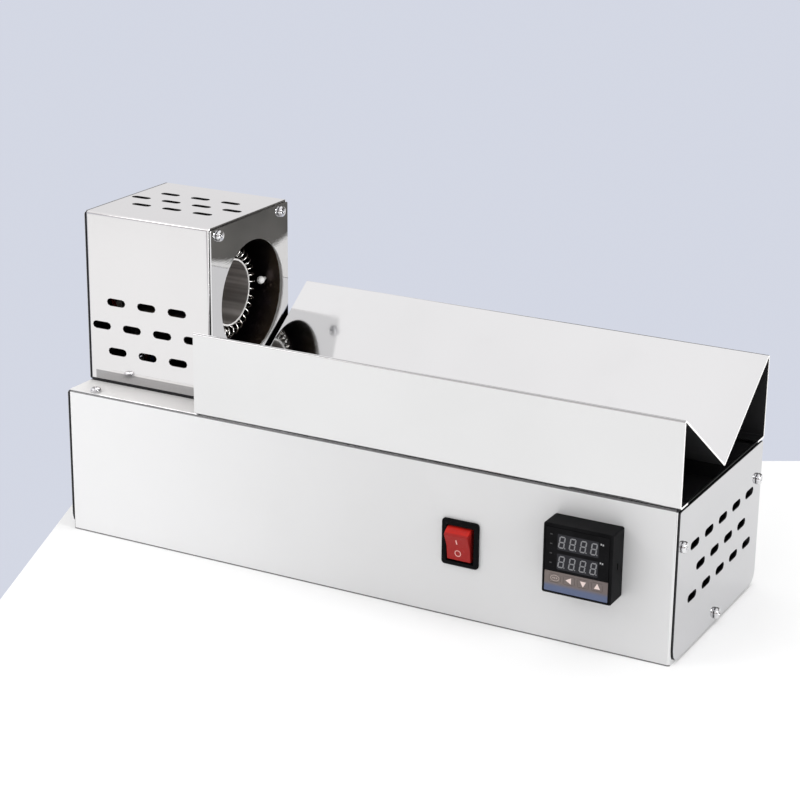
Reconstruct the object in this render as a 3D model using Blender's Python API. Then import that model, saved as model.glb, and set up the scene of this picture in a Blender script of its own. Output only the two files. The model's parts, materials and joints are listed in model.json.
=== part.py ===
"""Desktop heat shrinker for bottle capsules, folded from stainless steel sheet.

A long base box carries a V-shaped trough for a lying bottle and, at its left
end, a square heater box. The bottle's neck goes through the round mouth of
the heater box into a chamber with a coiled heating wire. The base holds the
power switch, the temperature controller, the relay and the wiring.

Metres, +Z up. The front looks along -Y and the open end of the trough is +X.
The origin is the middle of the base box's footprint, on the ground.
"""

import math

import bmesh
import bpy
from mathutils import Matrix, Vector

# Sheet metal and running clearances
SHEET = 0.0012              # thickness of every folded sheet and plate
FOLD_RADIUS = 0.0022        # outside radius of a fold
SEAT = 0.0003               # clearance between pieces that touch
FOLD_STEPS = 3              # facets round a fold

# Base box
BASE_LENGTH = 0.470
BASE_DEPTH = 0.155
BASE_HEIGHT = 0.107
BASE_FLANGE = 0.018         # width of the folded end flanges of the shell
TRAY_RIM = 0.014            # height of the tray's upturned rim
TRAY_NOTCH = 0.005          # relief notch at each corner of the tray
PANEL_MARGIN = 0.0012       # how far a cover plate stays inside the faces round it
PANEL_FOOT = 0.0015         # height of an end panel's lower edge above the ground
PANEL_LOW_RADIUS = 0.009    # lower corners of an end panel
PANEL_TOP_RADIUS = 0.0012   # upper corners of an end panel

# Ventilation slots
SLOT_WIDTH = 0.0056
SLOT_STEPS = 4              # facets round each end of a slot
END_SLOT_LENGTH = 0.0158
END_SLOT_PITCH = 0.0254
END_SLOT_ROW_PITCH = 0.0182
END_SLOT_ROWS = (5, 4, 5)
END_SLOT_SHIFT = 0.003      # the pattern sits a little towards the back
END_SLOT_DROP = 0.0505      # middle row below the base's top
BOX_SLOT_LENGTH = 0.0158
BOX_SLOT_PITCH = 0.0260
BOX_SLOT_ROW_PITCH = 0.0184
BOX_SLOT_ROWS = (3, 4, 3)
BOX_SLOT_HEIGHT = 0.0430    # middle row of the side slots above the base
BOX_SLOT_SHIFT = -0.0015    # the pattern sits a little towards the left
TOP_SLOT_SHIFT = 0.0012     # the top pattern sits a little towards the back

# Heater box
BOX_LENGTH = 0.107
BOX_DEPTH = 0.104
BOX_HEIGHT = 0.126
BOX_SHIFT = 0.002           # the box stands a little behind the base's middle
BOX_FLANGE = 0.016          # width of the cover's end and foot flanges
MOUTH_RADIUS = 0.0415
MOUTH_SIDES = 56
MOUTH_SHIFT = 0.0019        # axis of the mouth and the chamber above the box's middle
MOUTH_BACK = 0.0027         # and behind the box's middle
PLATE_SCREW_INSET = 0.011   # corner screws of the two plates, in from the sides
PLATE_SCREW_TOP = 0.0068    # and down from the top
PLATE_SCREW_FOOT = 0.0085   # and up from the base

# Heating chamber
CHAMBER_RADIUS = 0.0458     # outside of the outer tube
CHAMBER_LENGTH = 0.080
TUBE_SIDES = 36             # facets round the outer tube and the bore that clears it
SLEEVE_RADIUS = 0.0235      # bore of the inner sleeve that the neck goes into
SLEEVE_SIDES = 28
SLEEVE_DEPTH = 0.017        # rim of the sleeve behind the back of the mouth plate
COIL_DEPTH = 0.0225         # middle of the wire coil behind the mouth plate
COIL_TURNS = 32
COIL_RADIUS = 0.0048        # from the coil's own middle line to the wire's middle
COIL_POINTS = 8             # points of the wire's path for each turn
WIRE_RADIUS = 0.00055
WIRE_SIDES = 4
COIL_GAP_DEG = 14.0         # angle left open between the two ends of the coil
COIL_END_DEG = 187.0        # middle of that opening, at the front side
BEAD_RADIUS = 0.0030        # ceramic beads that hold the coil
BEAD_STEM = 0.0012
BEAD_FORWARD = 0.0058       # how far the beads sit in front of the coil's middle
PROBE_RADIUS = 0.0024
PROBE_REACH = 0.024
PROBE_HEX = 0.0045
PROBE_HEX_LENGTH = 0.005
TERMINAL_LENGTH = 0.010     # ceramic block behind the chamber's back
TERMINAL_WIDTH = 0.014
TERMINAL_HEIGHT = 0.020
LEAD_HOLE_RADIUS = 0.0085   # hole in the base's top under the heater box

# Bottle trough
TROUGH_START = 0.1095       # left end, from the left end of the base
TROUGH_HEIGHT = 0.060
TROUGH_VALLEY = 0.006       # upper face of the V's fold above the base
TROUGH_FOOT = 0.0125
TROUGH_SCREW_INSET = 0.055  # foot screws, in from the trough's ends
RIDGE_RADIUS = 0.0008       # middle radius of the sharp ridge folds

# Screws: pan heads with a cross recess
HEAD_RADIUS = 0.0040
HEAD_HEIGHT = 0.0026
SHANK_RADIUS = 0.0019
SHANK_LENGTH = 0.0075
SHANK_PLAY = 0.0005
HOLE_SIDES = 8
RECESS_REACH = 0.0019
RECESS_HALF_WIDTH = 0.00055
RECESS_DEPTH = 0.0013
PANEL_SCREW_INSET = 0.0083  # upper screws of the end panels, in from front and back
PANEL_SCREW_DROP = 0.0270   # and down from the base's top
PANEL_SCREW_FOOT = 0.0075   # lower screw above the ground
STRIP_SCREW_INSET = 0.0068  # screws on the base's top, in from front and back
STRIP_SCREW_X = 0.0207      # and from the left end
TRAY_SCREW_RISE = 0.0077    # rear screw of the tray above the ground

# Temperature controller
CONTROLLER_INSET = 0.0605   # middle, in from the right end of the base
CONTROLLER_DROP = 0.0417    # and down from its top
CONTROLLER_SIZE = 0.048
CONTROLLER_PROUD = 0.0185   # how far its front stands out of the base
CONTROLLER_EDGE = 0.0012
CONTROLLER_CUTOUT = 0.045
CONTROLLER_BODY_DEPTH = 0.060
CONTROLLER_RIM = 0.0018     # rim round the window and the key overlay
WINDOW_THICKNESS = 0.0010
OVERLAY_HEIGHT = 0.0140
KEY_COUNT = 4
KEY_PITCH = 0.00975
KEY_WIDTH = 0.0072
KEY_HEIGHT = 0.0052
KEY_FROM_TOP = 0.0044       # key's middle below the overlay's upper edge
KEY_LIP = 0.0005            # hidden lip that keeps a key behind the overlay
KEY_LIP_DEPTH = 0.0010
KEY_WELL = 0.0022           # depth of the well behind the keys' lips
CLAMP_WIDTH = 0.054
CLAMP_DEPTH = 0.006
NOTCH_HEIGHT = 0.0045
NOTCH_DEPTH = 0.0008

# Rocker switch
SWITCH_INSET = 0.1512       # middle, in from the right end of the base
SWITCH_DROP = 0.0533        # and down from its top
SWITCH_WIDTH = 0.0265
SWITCH_HEIGHT = 0.0315
SWITCH_PROUD = 0.0022
SWITCH_CORNER = 0.0022
SWITCH_BODY_WIDTH = 0.0232
SWITCH_BODY_DEPTH = 0.022
ROCKER_WIDTH = 0.0196
ROCKER_HALF = 0.0100        # half height of the rocker's face
ROCKER_PIVOT = 0.0050       # axis behind the frame's front
ROCKER_FACE = 0.0010        # middle of the face in front of the frame's front
ROCKER_VEE_DEG = 8.0        # each half of the face rises to its end by this angle
ROCKER_TILT_DEG = 16.0      # tilt from the middle to either stop
ROCKER_PLAY = 0.0004

# Power inlet in the back
INLET_INSET = 0.085         # middle, in from the right end of the base
INLET_DROP = 0.055          # and down from its top
INLET_FLANGE_WIDTH = 0.050
INLET_FLANGE_HEIGHT = 0.0225
INLET_FLANGE = 0.0030
INLET_BODY_WIDTH = 0.0272
INLET_BODY_HEIGHT = 0.0200
INLET_BODY_DEPTH = 0.023
INLET_SOCKET_WIDTH = 0.0240
INLET_SOCKET_HEIGHT = 0.0166
INLET_SOCKET_DEPTH = 0.0175
INLET_SOCKET_CORNER = 0.0040
INLET_SCREW_X = 0.020
PIN_WIDTH = 0.0020
PIN_HEIGHT = 0.0042
PIN_PITCH = 0.0070
PIN_RAISE = 0.0020
PIN_TAIL = 0.008

# Relay, terminal strip and leads inside the base
RELAY_X = 0.150             # middle, from the left end of the base
RELAY_Y = 0.016
RELAY_SIZE = (0.060, 0.044, 0.023)
RELAY_STEP = 0.6            # height of the terminals as a share of the relay's
STRIP_X = 0.250
STRIP_Y = 0.034
STRIP_POLES = 4
STRIP_POLE = 0.0095
STRIP_DEPTH = 0.020
STRIP_HEIGHT = 0.016
STRIP_WALL = 0.0016
LEAD_RADIUS = 0.0014
PROBE_LEAD_RADIUS = 0.0010
LEAD_SIDES = 6
LEAD_SPACING = 0.006        # between the middles of two leads that run together

# Colour, roughness and metallic value of each finish
STEEL = ((0.80, 0.80, 0.81), 0.12, 1.0)
CHROME = ((0.86, 0.86, 0.87), 0.10, 1.0)
DARK_STEEL = ((0.30, 0.29, 0.28), 0.35, 1.0)
WIRE = ((0.62, 0.60, 0.58), 0.35, 1.0)
CERAMIC = ((0.88, 0.87, 0.84), 0.55, 0.0)
BLACK = ((0.018, 0.018, 0.020), 0.38, 0.0)
SMOKED = ((0.012, 0.012, 0.014), 0.08, 0.0)
OVERLAY = ((0.20, 0.17, 0.17), 0.40, 0.0)
KEY = ((0.30, 0.25, 0.24), 0.45, 0.0)
RED = ((0.62, 0.030, 0.025), 0.25, 0.0)
GREY_PLASTIC = ((0.45, 0.46, 0.47), 0.50, 0.0)
RED_LEAD = ((0.55, 0.05, 0.04), 0.60, 0.0)
BLUE_LEAD = ((0.05, 0.10, 0.45), 0.60, 0.0)
WHITE_LEAD = ((0.75, 0.75, 0.72), 0.70, 0.0)

# Places that several pieces share
LEFT = -BASE_LENGTH / 2
RIGHT = BASE_LENGTH / 2
FRONT = -BASE_DEPTH / 2
BACK = BASE_DEPTH / 2
PLATE_LAYER = SHEET + SEAT
BOX_FRONT = BOX_SHIFT - BOX_DEPTH / 2
BOX_BACK = BOX_SHIFT + BOX_DEPTH / 2
BOX_FOOT = BASE_HEIGHT + SEAT
BOX_TOP = BASE_HEIGHT + BOX_HEIGHT
MOUTH_HEIGHT = BASE_HEIGHT + BOX_HEIGHT / 2 + MOUTH_SHIFT
MOUTH_Y = BOX_SHIFT + MOUTH_BACK
BOX_RIGHT = LEFT + BOX_LENGTH
BOX_MIDDLE = LEFT + BOX_LENGTH / 2
CHAMBER_FRONT = BOX_RIGHT - SHEET - SEAT
CHAMBER_BACK = CHAMBER_FRONT - CHAMBER_LENGTH
DISC_BACK = CHAMBER_BACK - SEAT - SHEET
SLEEVE_OUTSIDE = SLEEVE_RADIUS + SHEET
COIL_MIDDLE = SLEEVE_OUTSIDE + SEAT + WIRE_RADIUS + COIL_RADIUS
COIL_X = BOX_RIGHT - SHEET - COIL_DEPTH
COIL_OUTSIDE = COIL_MIDDLE + COIL_RADIUS + WIRE_RADIUS
PROBE_LOW = (COIL_OUTSIDE + CHAMBER_RADIUS - SHEET) / 2
TRAY_FLOOR = SHEET
CONTROLLER = (RIGHT - CONTROLLER_INSET, BASE_HEIGHT - CONTROLLER_DROP)
SWITCH = (RIGHT - SWITCH_INSET, BASE_HEIGHT - SWITCH_DROP)
INLET = (RIGHT - INLET_INSET, BASE_HEIGHT - INLET_DROP)
LEAD_HOLE = (DISC_BACK - (DISC_BACK - LEFT - SHEET) / 2, MOUTH_Y)


def clear_scene():
    """Remove every object that the opened file holds."""
    for obj in list(bpy.data.objects):
        bpy.data.objects.remove(obj, do_unlink=True)


def make_finish(name, values):
    """One Principled material from a finish's colour, roughness and metallic value."""
    colour, roughness, metallic = values
    material = bpy.data.materials.new(name)
    material.use_nodes = True
    shader = material.node_tree.nodes["Principled BSDF"]
    shader.inputs["Base Color"].default_value = (*colour, 1.0)
    shader.inputs["Roughness"].default_value = roughness
    shader.inputs["Metallic"].default_value = metallic
    material.diffuse_color = (*colour, 1.0)
    return material


def make_object(name, bm, values, origin=(0.0, 0.0, 0.0), smooth_deg=32.0):
    """Turn a bmesh in world places into an object whose origin is the given point."""
    bmesh.ops.recalc_face_normals(bm, faces=bm.faces)
    bmesh.ops.translate(bm, verts=bm.verts, vec=-Vector(origin))
    mesh = bpy.data.meshes.new(name)
    bm.to_mesh(mesh)
    bm.free()
    mesh.shade_smooth()
    mesh.set_sharp_from_angle(angle=math.radians(smooth_deg))
    mesh.materials.append(make_finish(name + "_finish", values))
    obj = bpy.data.objects.new(name, mesh)
    obj.location = origin
    bpy.context.scene.collection.objects.link(obj)
    return obj


def cut(obj, bm, label):
    """Cut the closed bodies of a bmesh out of an object with an exact Boolean."""
    bmesh.ops.recalc_face_normals(bm, faces=bm.faces)
    mesh = bpy.data.meshes.new(f"{obj.name}_{label}")
    bm.to_mesh(mesh)
    bm.free()
    cutter = bpy.data.objects.new(mesh.name, mesh)
    cutter.hide_render = True
    cutter.display_type = "WIRE"
    bpy.context.scene.collection.objects.link(cutter)
    modifier = obj.modifiers.new(label, "BOOLEAN")
    modifier.operation = "DIFFERENCE"
    modifier.solver = "EXACT"
    modifier.object = cutter


def place(plane, u, v, w):
    """World point of (u, v) in a named plane at the distance w along its normal."""
    if plane == "YZ":
        return (w, u, v)
    if plane == "XZ":
        return (u, w, v)
    return (u, v, w)


def prism(bm, outline, plane, start, end):
    """Add a closed prism: an outline in a plane, extruded from start to end."""
    near = [bm.verts.new(place(plane, u, v, start)) for u, v in outline]
    far = [bm.verts.new(place(plane, u, v, end)) for u, v in outline]
    bm.faces.new(near)
    bm.faces.new(far[::-1])
    for i in range(len(outline)):
        j = (i + 1) % len(outline)
        bm.faces.new((near[i], far[i], far[j], near[j]))


def block(bm, low, high):
    """Add a closed box between two corners."""
    outline = ((low[0], low[1]), (high[0], low[1]), (high[0], high[1]), (low[0], high[1]))
    prism(bm, outline, "XY", low[2], high[2])


def loft(bm, sections, plane):
    """Join outlines of equal length, each given with its own distance, into one body."""
    rings = []
    for outline, distance in sections:
        rings.append([bm.verts.new(place(plane, u, v, distance)) for u, v in outline])
    count = len(rings[0])
    for near, far in zip(rings, rings[1:]):
        for i in range(count):
            j = (i + 1) % count
            bm.faces.new((near[i], far[i], far[j], near[j]))
    bm.faces.new(rings[0])
    bm.faces.new(rings[-1][::-1])


def rounded_rectangle(middle, width, height, radii, steps=3):
    """Outline of a rectangle whose corners have their own radii, from lower left round."""
    if not isinstance(radii, tuple):
        radii = (radii,) * 4
    corners = ((-1, -1, 180), (1, -1, 270), (1, 1, 0), (-1, 1, 90))
    outline = []
    for (side_u, side_v, start), radius in zip(corners, radii):
        centre_u = middle[0] + side_u * (width / 2 - radius)
        centre_v = middle[1] + side_v * (height / 2 - radius)
        for step in range(steps + 1):
            angle = math.radians(start + 90 * step / steps)
            outline.append((centre_u + radius * math.cos(angle), centre_v + radius * math.sin(angle)))
    return outline


def circle(middle, radius, count, start_deg=0.0):
    """Outline of a regular polygon that stands for a circle."""
    outline = []
    for step in range(count):
        angle = math.radians(start_deg) + math.tau * step / count
        outline.append((middle[0] + radius * math.cos(angle), middle[1] + radius * math.sin(angle)))
    return outline


def stadium(middle, length, width):
    """Outline of a slot with round ends, lying along u."""
    radius = width / 2
    outline = []
    for side, start in ((1, -90), (-1, 90)):
        for step in range(SLOT_STEPS + 1):
            angle = math.radians(start + 180 * step / SLOT_STEPS)
            u = middle[0] + side * (length / 2 - radius) + radius * math.cos(angle)
            outline.append((u, middle[1] + radius * math.sin(angle)))
    return outline


def slot_rows(bm, rows, middle, length, pitch, row_pitch, plane, start, end):
    """Add staggered rows of slot prisms, centred on a point of the plane."""
    for row, count in enumerate(rows):
        v = middle[1] + (row - (len(rows) - 1) / 2) * row_pitch
        for i in range(count):
            u = middle[0] + (i - (count - 1) / 2) * pitch
            prism(bm, stadium((u, v), length, SLOT_WIDTH), plane, start, end)


def lathe(bm, profile, origin, axis, segments, ring=False, start_deg=0.0):
    """Turn a profile of (radius, height) points about an axis through the origin."""
    turn = Vector((0, 0, 1)).rotation_difference(Vector(axis)).to_matrix().to_4x4()
    matrix = Matrix.Translation(Vector(origin)) @ turn
    rings = []
    for radius, height in profile:
        if radius == 0.0:
            rings.append([bm.verts.new(matrix @ Vector((0, 0, height)))])
            continue
        points = circle((0, 0), radius, segments, start_deg)
        rings.append([bm.verts.new(matrix @ Vector((x, y, height))) for x, y in points])
    pairs = list(zip(rings, rings[1:]))
    if ring:
        pairs.append((rings[-1], rings[0]))
    for near, far in pairs:
        for i in range(segments):
            j = (i + 1) % segments
            corners = [near[i % len(near)], far[i % len(far)], far[j % len(far)], near[j % len(near)]]
            bm.faces.new(list(dict.fromkeys(corners)))


def bevelled_block(low, high, radius, keep_edge):
    """A box whose edges that pass the test keep_edge(direction, middle) are rounded."""
    bm = bmesh.new()
    block(bm, low, high)
    edges = []
    for edge in bm.edges:
        direction = (edge.verts[1].co - edge.verts[0].co).normalized()
        middle = (edge.verts[0].co + edge.verts[1].co) / 2
        if keep_edge(direction, middle):
            edges.append(edge)
    if radius > 0:
        bmesh.ops.recalc_face_normals(bm, faces=bm.faces)
        bmesh.ops.bevel(bm, geom=edges, offset=radius, offset_type="OFFSET", segments=FOLD_STEPS,
                        profile=0.5, affect="EDGES")
    return bm


def folded_solid(low, high, radius):
    """Outside or inside of a folded cover: round along its top and its upright edges."""
    top = high[2]

    def is_fold(direction, middle):
        upright = abs(direction.z) > 0.9
        along_top = abs(direction.x) > 0.9 and abs(middle.z - top) < 1e-6
        return upright or along_top

    return bevelled_block(low, high, radius, is_fold)


def inset(low, high, amount):
    """Corners of a box that lies the amount inside another."""
    return [value + amount for value in low], [value - amount for value in high]


def fold_path(points, radii, steps):
    """Middle line of a bent sheet: corners turned into arcs, each point with its normal."""
    path = []
    for i, point in enumerate(points):
        here = Vector(point)
        if i in (0, len(points) - 1):
            ahead = Vector(points[i + 1]) - here if i == 0 else here - Vector(points[i - 1])
            ahead.normalize()
            path.append((here, Vector((-ahead.y, ahead.x))))
            continue
        arriving = (here - Vector(points[i - 1])).normalized()
        leaving = (Vector(points[i + 1]) - here).normalized()
        bend = math.atan2(arriving.x * leaving.y - arriving.y * leaving.x, arriving.dot(leaving))
        side = 1 if bend > 0 else -1
        radius = radii[i - 1]
        trim = radius * math.tan(abs(bend) / 2)
        centre = here - arriving * trim + side * radius * Vector((-arriving.y, arriving.x))
        for step in range(steps + 1):
            turned = bend * step / steps
            heading = Vector((arriving.x * math.cos(turned) - arriving.y * math.sin(turned),
                              arriving.x * math.sin(turned) + arriving.y * math.cos(turned)))
            normal = Vector((-heading.y, heading.x))
            path.append((centre - side * radius * normal, normal))
    return path


def bent_sheet(points, radii, thickness, steps):
    """Closed outline of a sheet of one thickness that follows a bent middle line."""
    path = fold_path(points, radii, steps)
    left = [tuple(point + normal * thickness / 2) for point, normal in path]
    right = [tuple(point - normal * thickness / 2) for point, normal in path]
    return left + right[::-1]


def smooth_route(points, steps):
    """Points on a Catmull-Rom curve through the given ones."""
    ends = [points[0] * 2 - points[1], *points, points[-1] * 2 - points[-2]]
    route = []
    for i in range(1, len(ends) - 2):
        a, b, c, d = ends[i - 1:i + 3]
        for step in range(steps):
            t = step / steps
            route.append(0.5 * (2 * b + (c - a) * t + (2 * a - 5 * b + 4 * c - d) * t * t
                                + (3 * b - a - 3 * c + d) * t ** 3))
    route.append(points[-1])
    return route


def sweep(bm, path, radius, sides):
    """Add a round wire of one radius along a path, closed at both ends."""
    tangent = (path[1] - path[0]).normalized()
    across = tangent.orthogonal().normalized()
    rings = []
    for i, point in enumerate(path):
        before = path[max(i - 1, 0)]
        after = path[min(i + 1, len(path) - 1)]
        heading = (after - before).normalized()
        across = (tangent.rotation_difference(heading) @ across).normalized()
        tangent = heading
        other = tangent.cross(across)
        ring = []
        for side in range(sides):
            angle = math.tau * side / sides
            offset = across * math.cos(angle) + other * math.sin(angle)
            ring.append(bm.verts.new(point + radius * offset))
        rings.append(ring)
    for near, far in zip(rings, rings[1:]):
        for i in range(sides):
            j = (i + 1) % sides
            bm.faces.new((near[i], near[j], far[j], far[i]))
    bm.faces.new(rings[0][::-1])
    bm.faces.new(rings[-1])


def screw_hole(bm, point, plane, start, end):
    """Add the cutter of one screw's clearance hole."""
    prism(bm, circle(point, SHANK_RADIUS + SHANK_PLAY, HOLE_SIDES), plane, start, end)


def screw(name, seat, axis):
    """Pan head screw with a cross recess; seat is the point under the middle of its head."""
    bm = bmesh.new()
    steps = 12
    profile = (
        (HEAD_RADIUS * 0.62, HEAD_HEIGHT),
        (HEAD_RADIUS * 0.93, HEAD_HEIGHT * 0.66),
        (HEAD_RADIUS, 0.0),
        (SHANK_RADIUS, 0.0),
        (SHANK_RADIUS, -SHANK_LENGTH),
    )
    lathe(bm, profile, (0, 0, 0), (0, 0, 1), steps, start_deg=15.0)
    bm.verts.ensure_lookup_table()
    rim = bm.verts[:steps]
    tip = bm.verts[-steps:]
    bm.faces.new(tip)
    reach, half = RECESS_REACH, RECESS_HALF_WIDTH
    quarter = ((reach, half), (half, half), (half, reach))
    cross = []
    for turn in range(4):
        angle = math.tau * turn / 4
        for x, y in quarter:
            cross.append((x * math.cos(angle) - y * math.sin(angle), x * math.sin(angle) + y * math.cos(angle)))
    upper = [bm.verts.new((x, y, HEAD_HEIGHT)) for x, y in cross]
    lower = [bm.verts.new((x * 0.8, y * 0.8, HEAD_HEIGHT - RECESS_DEPTH)) for x, y in cross]
    for i in range(steps):
        j = (i + 1) % steps
        bm.faces.new((rim[i], rim[j], upper[j], upper[i]))
        bm.faces.new((upper[i], upper[j], lower[j], lower[i]))
    bm.faces.new(lower)
    turn = Vector((0, 0, 1)).rotation_difference(Vector(axis)).to_matrix().to_4x4()
    middle = Vector(seat) + Vector(axis) * SEAT
    bmesh.ops.transform(bm, matrix=Matrix.Translation(middle) @ turn, verts=bm.verts)
    return make_object(name, bm, CHROME, middle)


def end_panel_screws():
    """Places (y, z) of the three screws of an end panel."""
    high = BASE_HEIGHT - PANEL_SCREW_DROP
    return (
        (FRONT + PANEL_SCREW_INSET, high),
        (BACK - PANEL_SCREW_INSET, high),
        (0.0, PANEL_SCREW_FOOT),
    )


def heater_plate_screws():
    """Places (y, z) of the four screws of a heater box plate."""
    places = []
    for z in (BOX_FOOT + PLATE_SCREW_FOOT, BOX_TOP - PLATE_SCREW_TOP):
        for y in (BOX_FRONT + PLATE_SCREW_INSET, BOX_BACK - PLATE_SCREW_INSET):
            places.append((y, z))
    return places


def strip_screws():
    """Places (x, y) of the two screws on the base's top beside the heater box."""
    x = LEFT + STRIP_SCREW_X
    return ((x, FRONT + STRIP_SCREW_INSET), (x, BACK - STRIP_SCREW_INSET))


def trough_screws():
    """Places (x, y) of the trough's four foot screws."""
    places = []
    for x in (LEFT + TROUGH_START + TROUGH_SCREW_INSET, RIGHT - TROUGH_SCREW_INSET):
        for y in (FRONT + TROUGH_FOOT / 2, BACK - TROUGH_FOOT / 2):
            places.append((x, y))
    return places


def box_foot_screws():
    """Places (x, y) of the two screws that hold the heater box's feet to the base."""
    return ((BOX_MIDDLE, BOX_FRONT + BOX_FLANGE / 2), (BOX_MIDDLE, BOX_BACK - BOX_FLANGE / 2))


def tray_screw():
    """Place (x, z) of the rear screw that holds the tray in the shell."""
    return (0.0, TRAY_SCREW_RISE)


def inlet_screws():
    """Places (x, z) of the inlet's two screws."""
    return ((INLET[0] - INLET_SCREW_X, INLET[1]), (INLET[0] + INLET_SCREW_X, INLET[1]))


def make_base_shell():
    """Front, top and back of the base in one folded sheet, with end flanges."""
    low = (LEFT + PLATE_LAYER, FRONT, 0.0)
    high = (RIGHT - PLATE_LAYER, BACK, BASE_HEIGHT)
    shell = make_object("base_shell", folded_solid(low, high, FOLD_RADIUS), STEEL)
    inner_low, inner_high = inset(low, high, SHEET)
    inner_low[2] = -SHEET
    cut(shell, folded_solid(inner_low, inner_high, FOLD_RADIUS - SHEET), "cavity")
    ends = bmesh.new()
    block(ends, (LEFT, FRONT + BASE_FLANGE, -SHEET), (RIGHT, BACK - BASE_FLANGE, BASE_HEIGHT - SHEET))
    cut(shell, ends, "ends")
    holes = bmesh.new()
    wall = (FRONT - SHEET, FRONT + 2 * SHEET)
    square = rounded_rectangle(CONTROLLER, CONTROLLER_CUTOUT, CONTROLLER_CUTOUT, SHEET)
    prism(holes, square, "XZ", *wall)
    switch_hole = switch_outline(SWITCH_BODY_WIDTH + 2 * SEAT, switch_body_height() + 2 * SEAT)
    prism(holes, switch_hole, "XZ", *wall)
    rear = (BACK - 2 * SHEET, BACK + SHEET)
    inlet_hole = rounded_rectangle(INLET, INLET_BODY_WIDTH + 2 * SEAT, INLET_BODY_HEIGHT + 2 * SEAT, SHEET)
    prism(holes, inlet_hole, "XZ", *rear)
    for point in (*inlet_screws(), tray_screw()):
        screw_hole(holes, point, "XZ", *rear)
    roof = (BASE_HEIGHT - 2 * SHEET, BASE_HEIGHT + SHEET)
    for point in (*strip_screws(), *trough_screws(), *box_foot_screws()):
        screw_hole(holes, point, "XY", *roof)
    prism(holes, circle(LEAD_HOLE, LEAD_HOLE_RADIUS, 20), "XY", *roof)
    for start, end in ((LEFT, LEFT + PLATE_LAYER + 2 * SHEET), (RIGHT - PLATE_LAYER - 2 * SHEET, RIGHT)):
        for point in end_panel_screws()[:2]:
            screw_hole(holes, point, "YZ", start, end)
    cut(shell, holes, "holes")


def make_base_tray():
    """Floor of the base: a shallow folded tray inside the shell's walls."""
    layer = 2 * PLATE_LAYER
    low = (LEFT + layer, FRONT + PLATE_LAYER, 0.0)
    high = (RIGHT - layer, BACK - PLATE_LAYER, TRAY_RIM)

    def is_fold(direction, middle):
        return abs(direction.z) < 0.1 and middle.z < 1e-6

    tray = make_object("base_tray", bevelled_block(low, high, FOLD_RADIUS, is_fold), STEEL)
    inner_low, inner_high = inset(low, high, SHEET)
    inner_high[2] = TRAY_RIM + SHEET
    middle_z = inner_low[2]

    def is_inner_fold(direction, middle):
        return abs(direction.z) < 0.1 and abs(middle.z - middle_z) < 1e-6

    cut(tray, bevelled_block(inner_low, inner_high, FOLD_RADIUS - SHEET, is_inner_fold), "cavity")
    notches = bmesh.new()
    for x in (low[0], high[0]):
        for y in (low[1], high[1]):
            block(notches, (x - TRAY_NOTCH, y - TRAY_NOTCH, FOLD_RADIUS),
                  (x + TRAY_NOTCH, y + TRAY_NOTCH, TRAY_RIM + SHEET))
    for start, end in ((LEFT, low[0] + 2 * SHEET), (high[0] - 2 * SHEET, RIGHT)):
        screw_hole(notches, end_panel_screws()[2], "YZ", start, end)
    screw_hole(notches, tray_screw(), "XZ", high[1] - 2 * SHEET, BACK)
    cut(tray, notches, "notches")


def make_end_panel(name, outside, slotted):
    """Cover plate at one end of the base, over the shell's flanges."""
    side = 1 if outside > 0 else -1
    span = (outside - side * SHEET, outside)
    height = BASE_HEIGHT - SHEET - SEAT - PANEL_FOOT
    middle = (0.0, PANEL_FOOT + height / 2)
    radii = (PANEL_LOW_RADIUS, PANEL_LOW_RADIUS, PANEL_TOP_RADIUS, PANEL_TOP_RADIUS)
    outline = rounded_rectangle(middle, BASE_DEPTH - 2 * PANEL_MARGIN, height, radii)
    bm = bmesh.new()
    prism(bm, outline, "YZ", *span)
    panel = make_object(name, bm, STEEL)
    holes = bmesh.new()
    reach = (span[0] - side * SHEET, span[1] + side * SHEET)
    for point in end_panel_screws():
        screw_hole(holes, point, "YZ", *reach)
    if slotted:
        slot_rows(holes, END_SLOT_ROWS, (END_SLOT_SHIFT, BASE_HEIGHT - END_SLOT_DROP), END_SLOT_LENGTH,
                  END_SLOT_PITCH, END_SLOT_ROW_PITCH, "YZ", *reach)
    cut(panel, holes, "holes")


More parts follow.
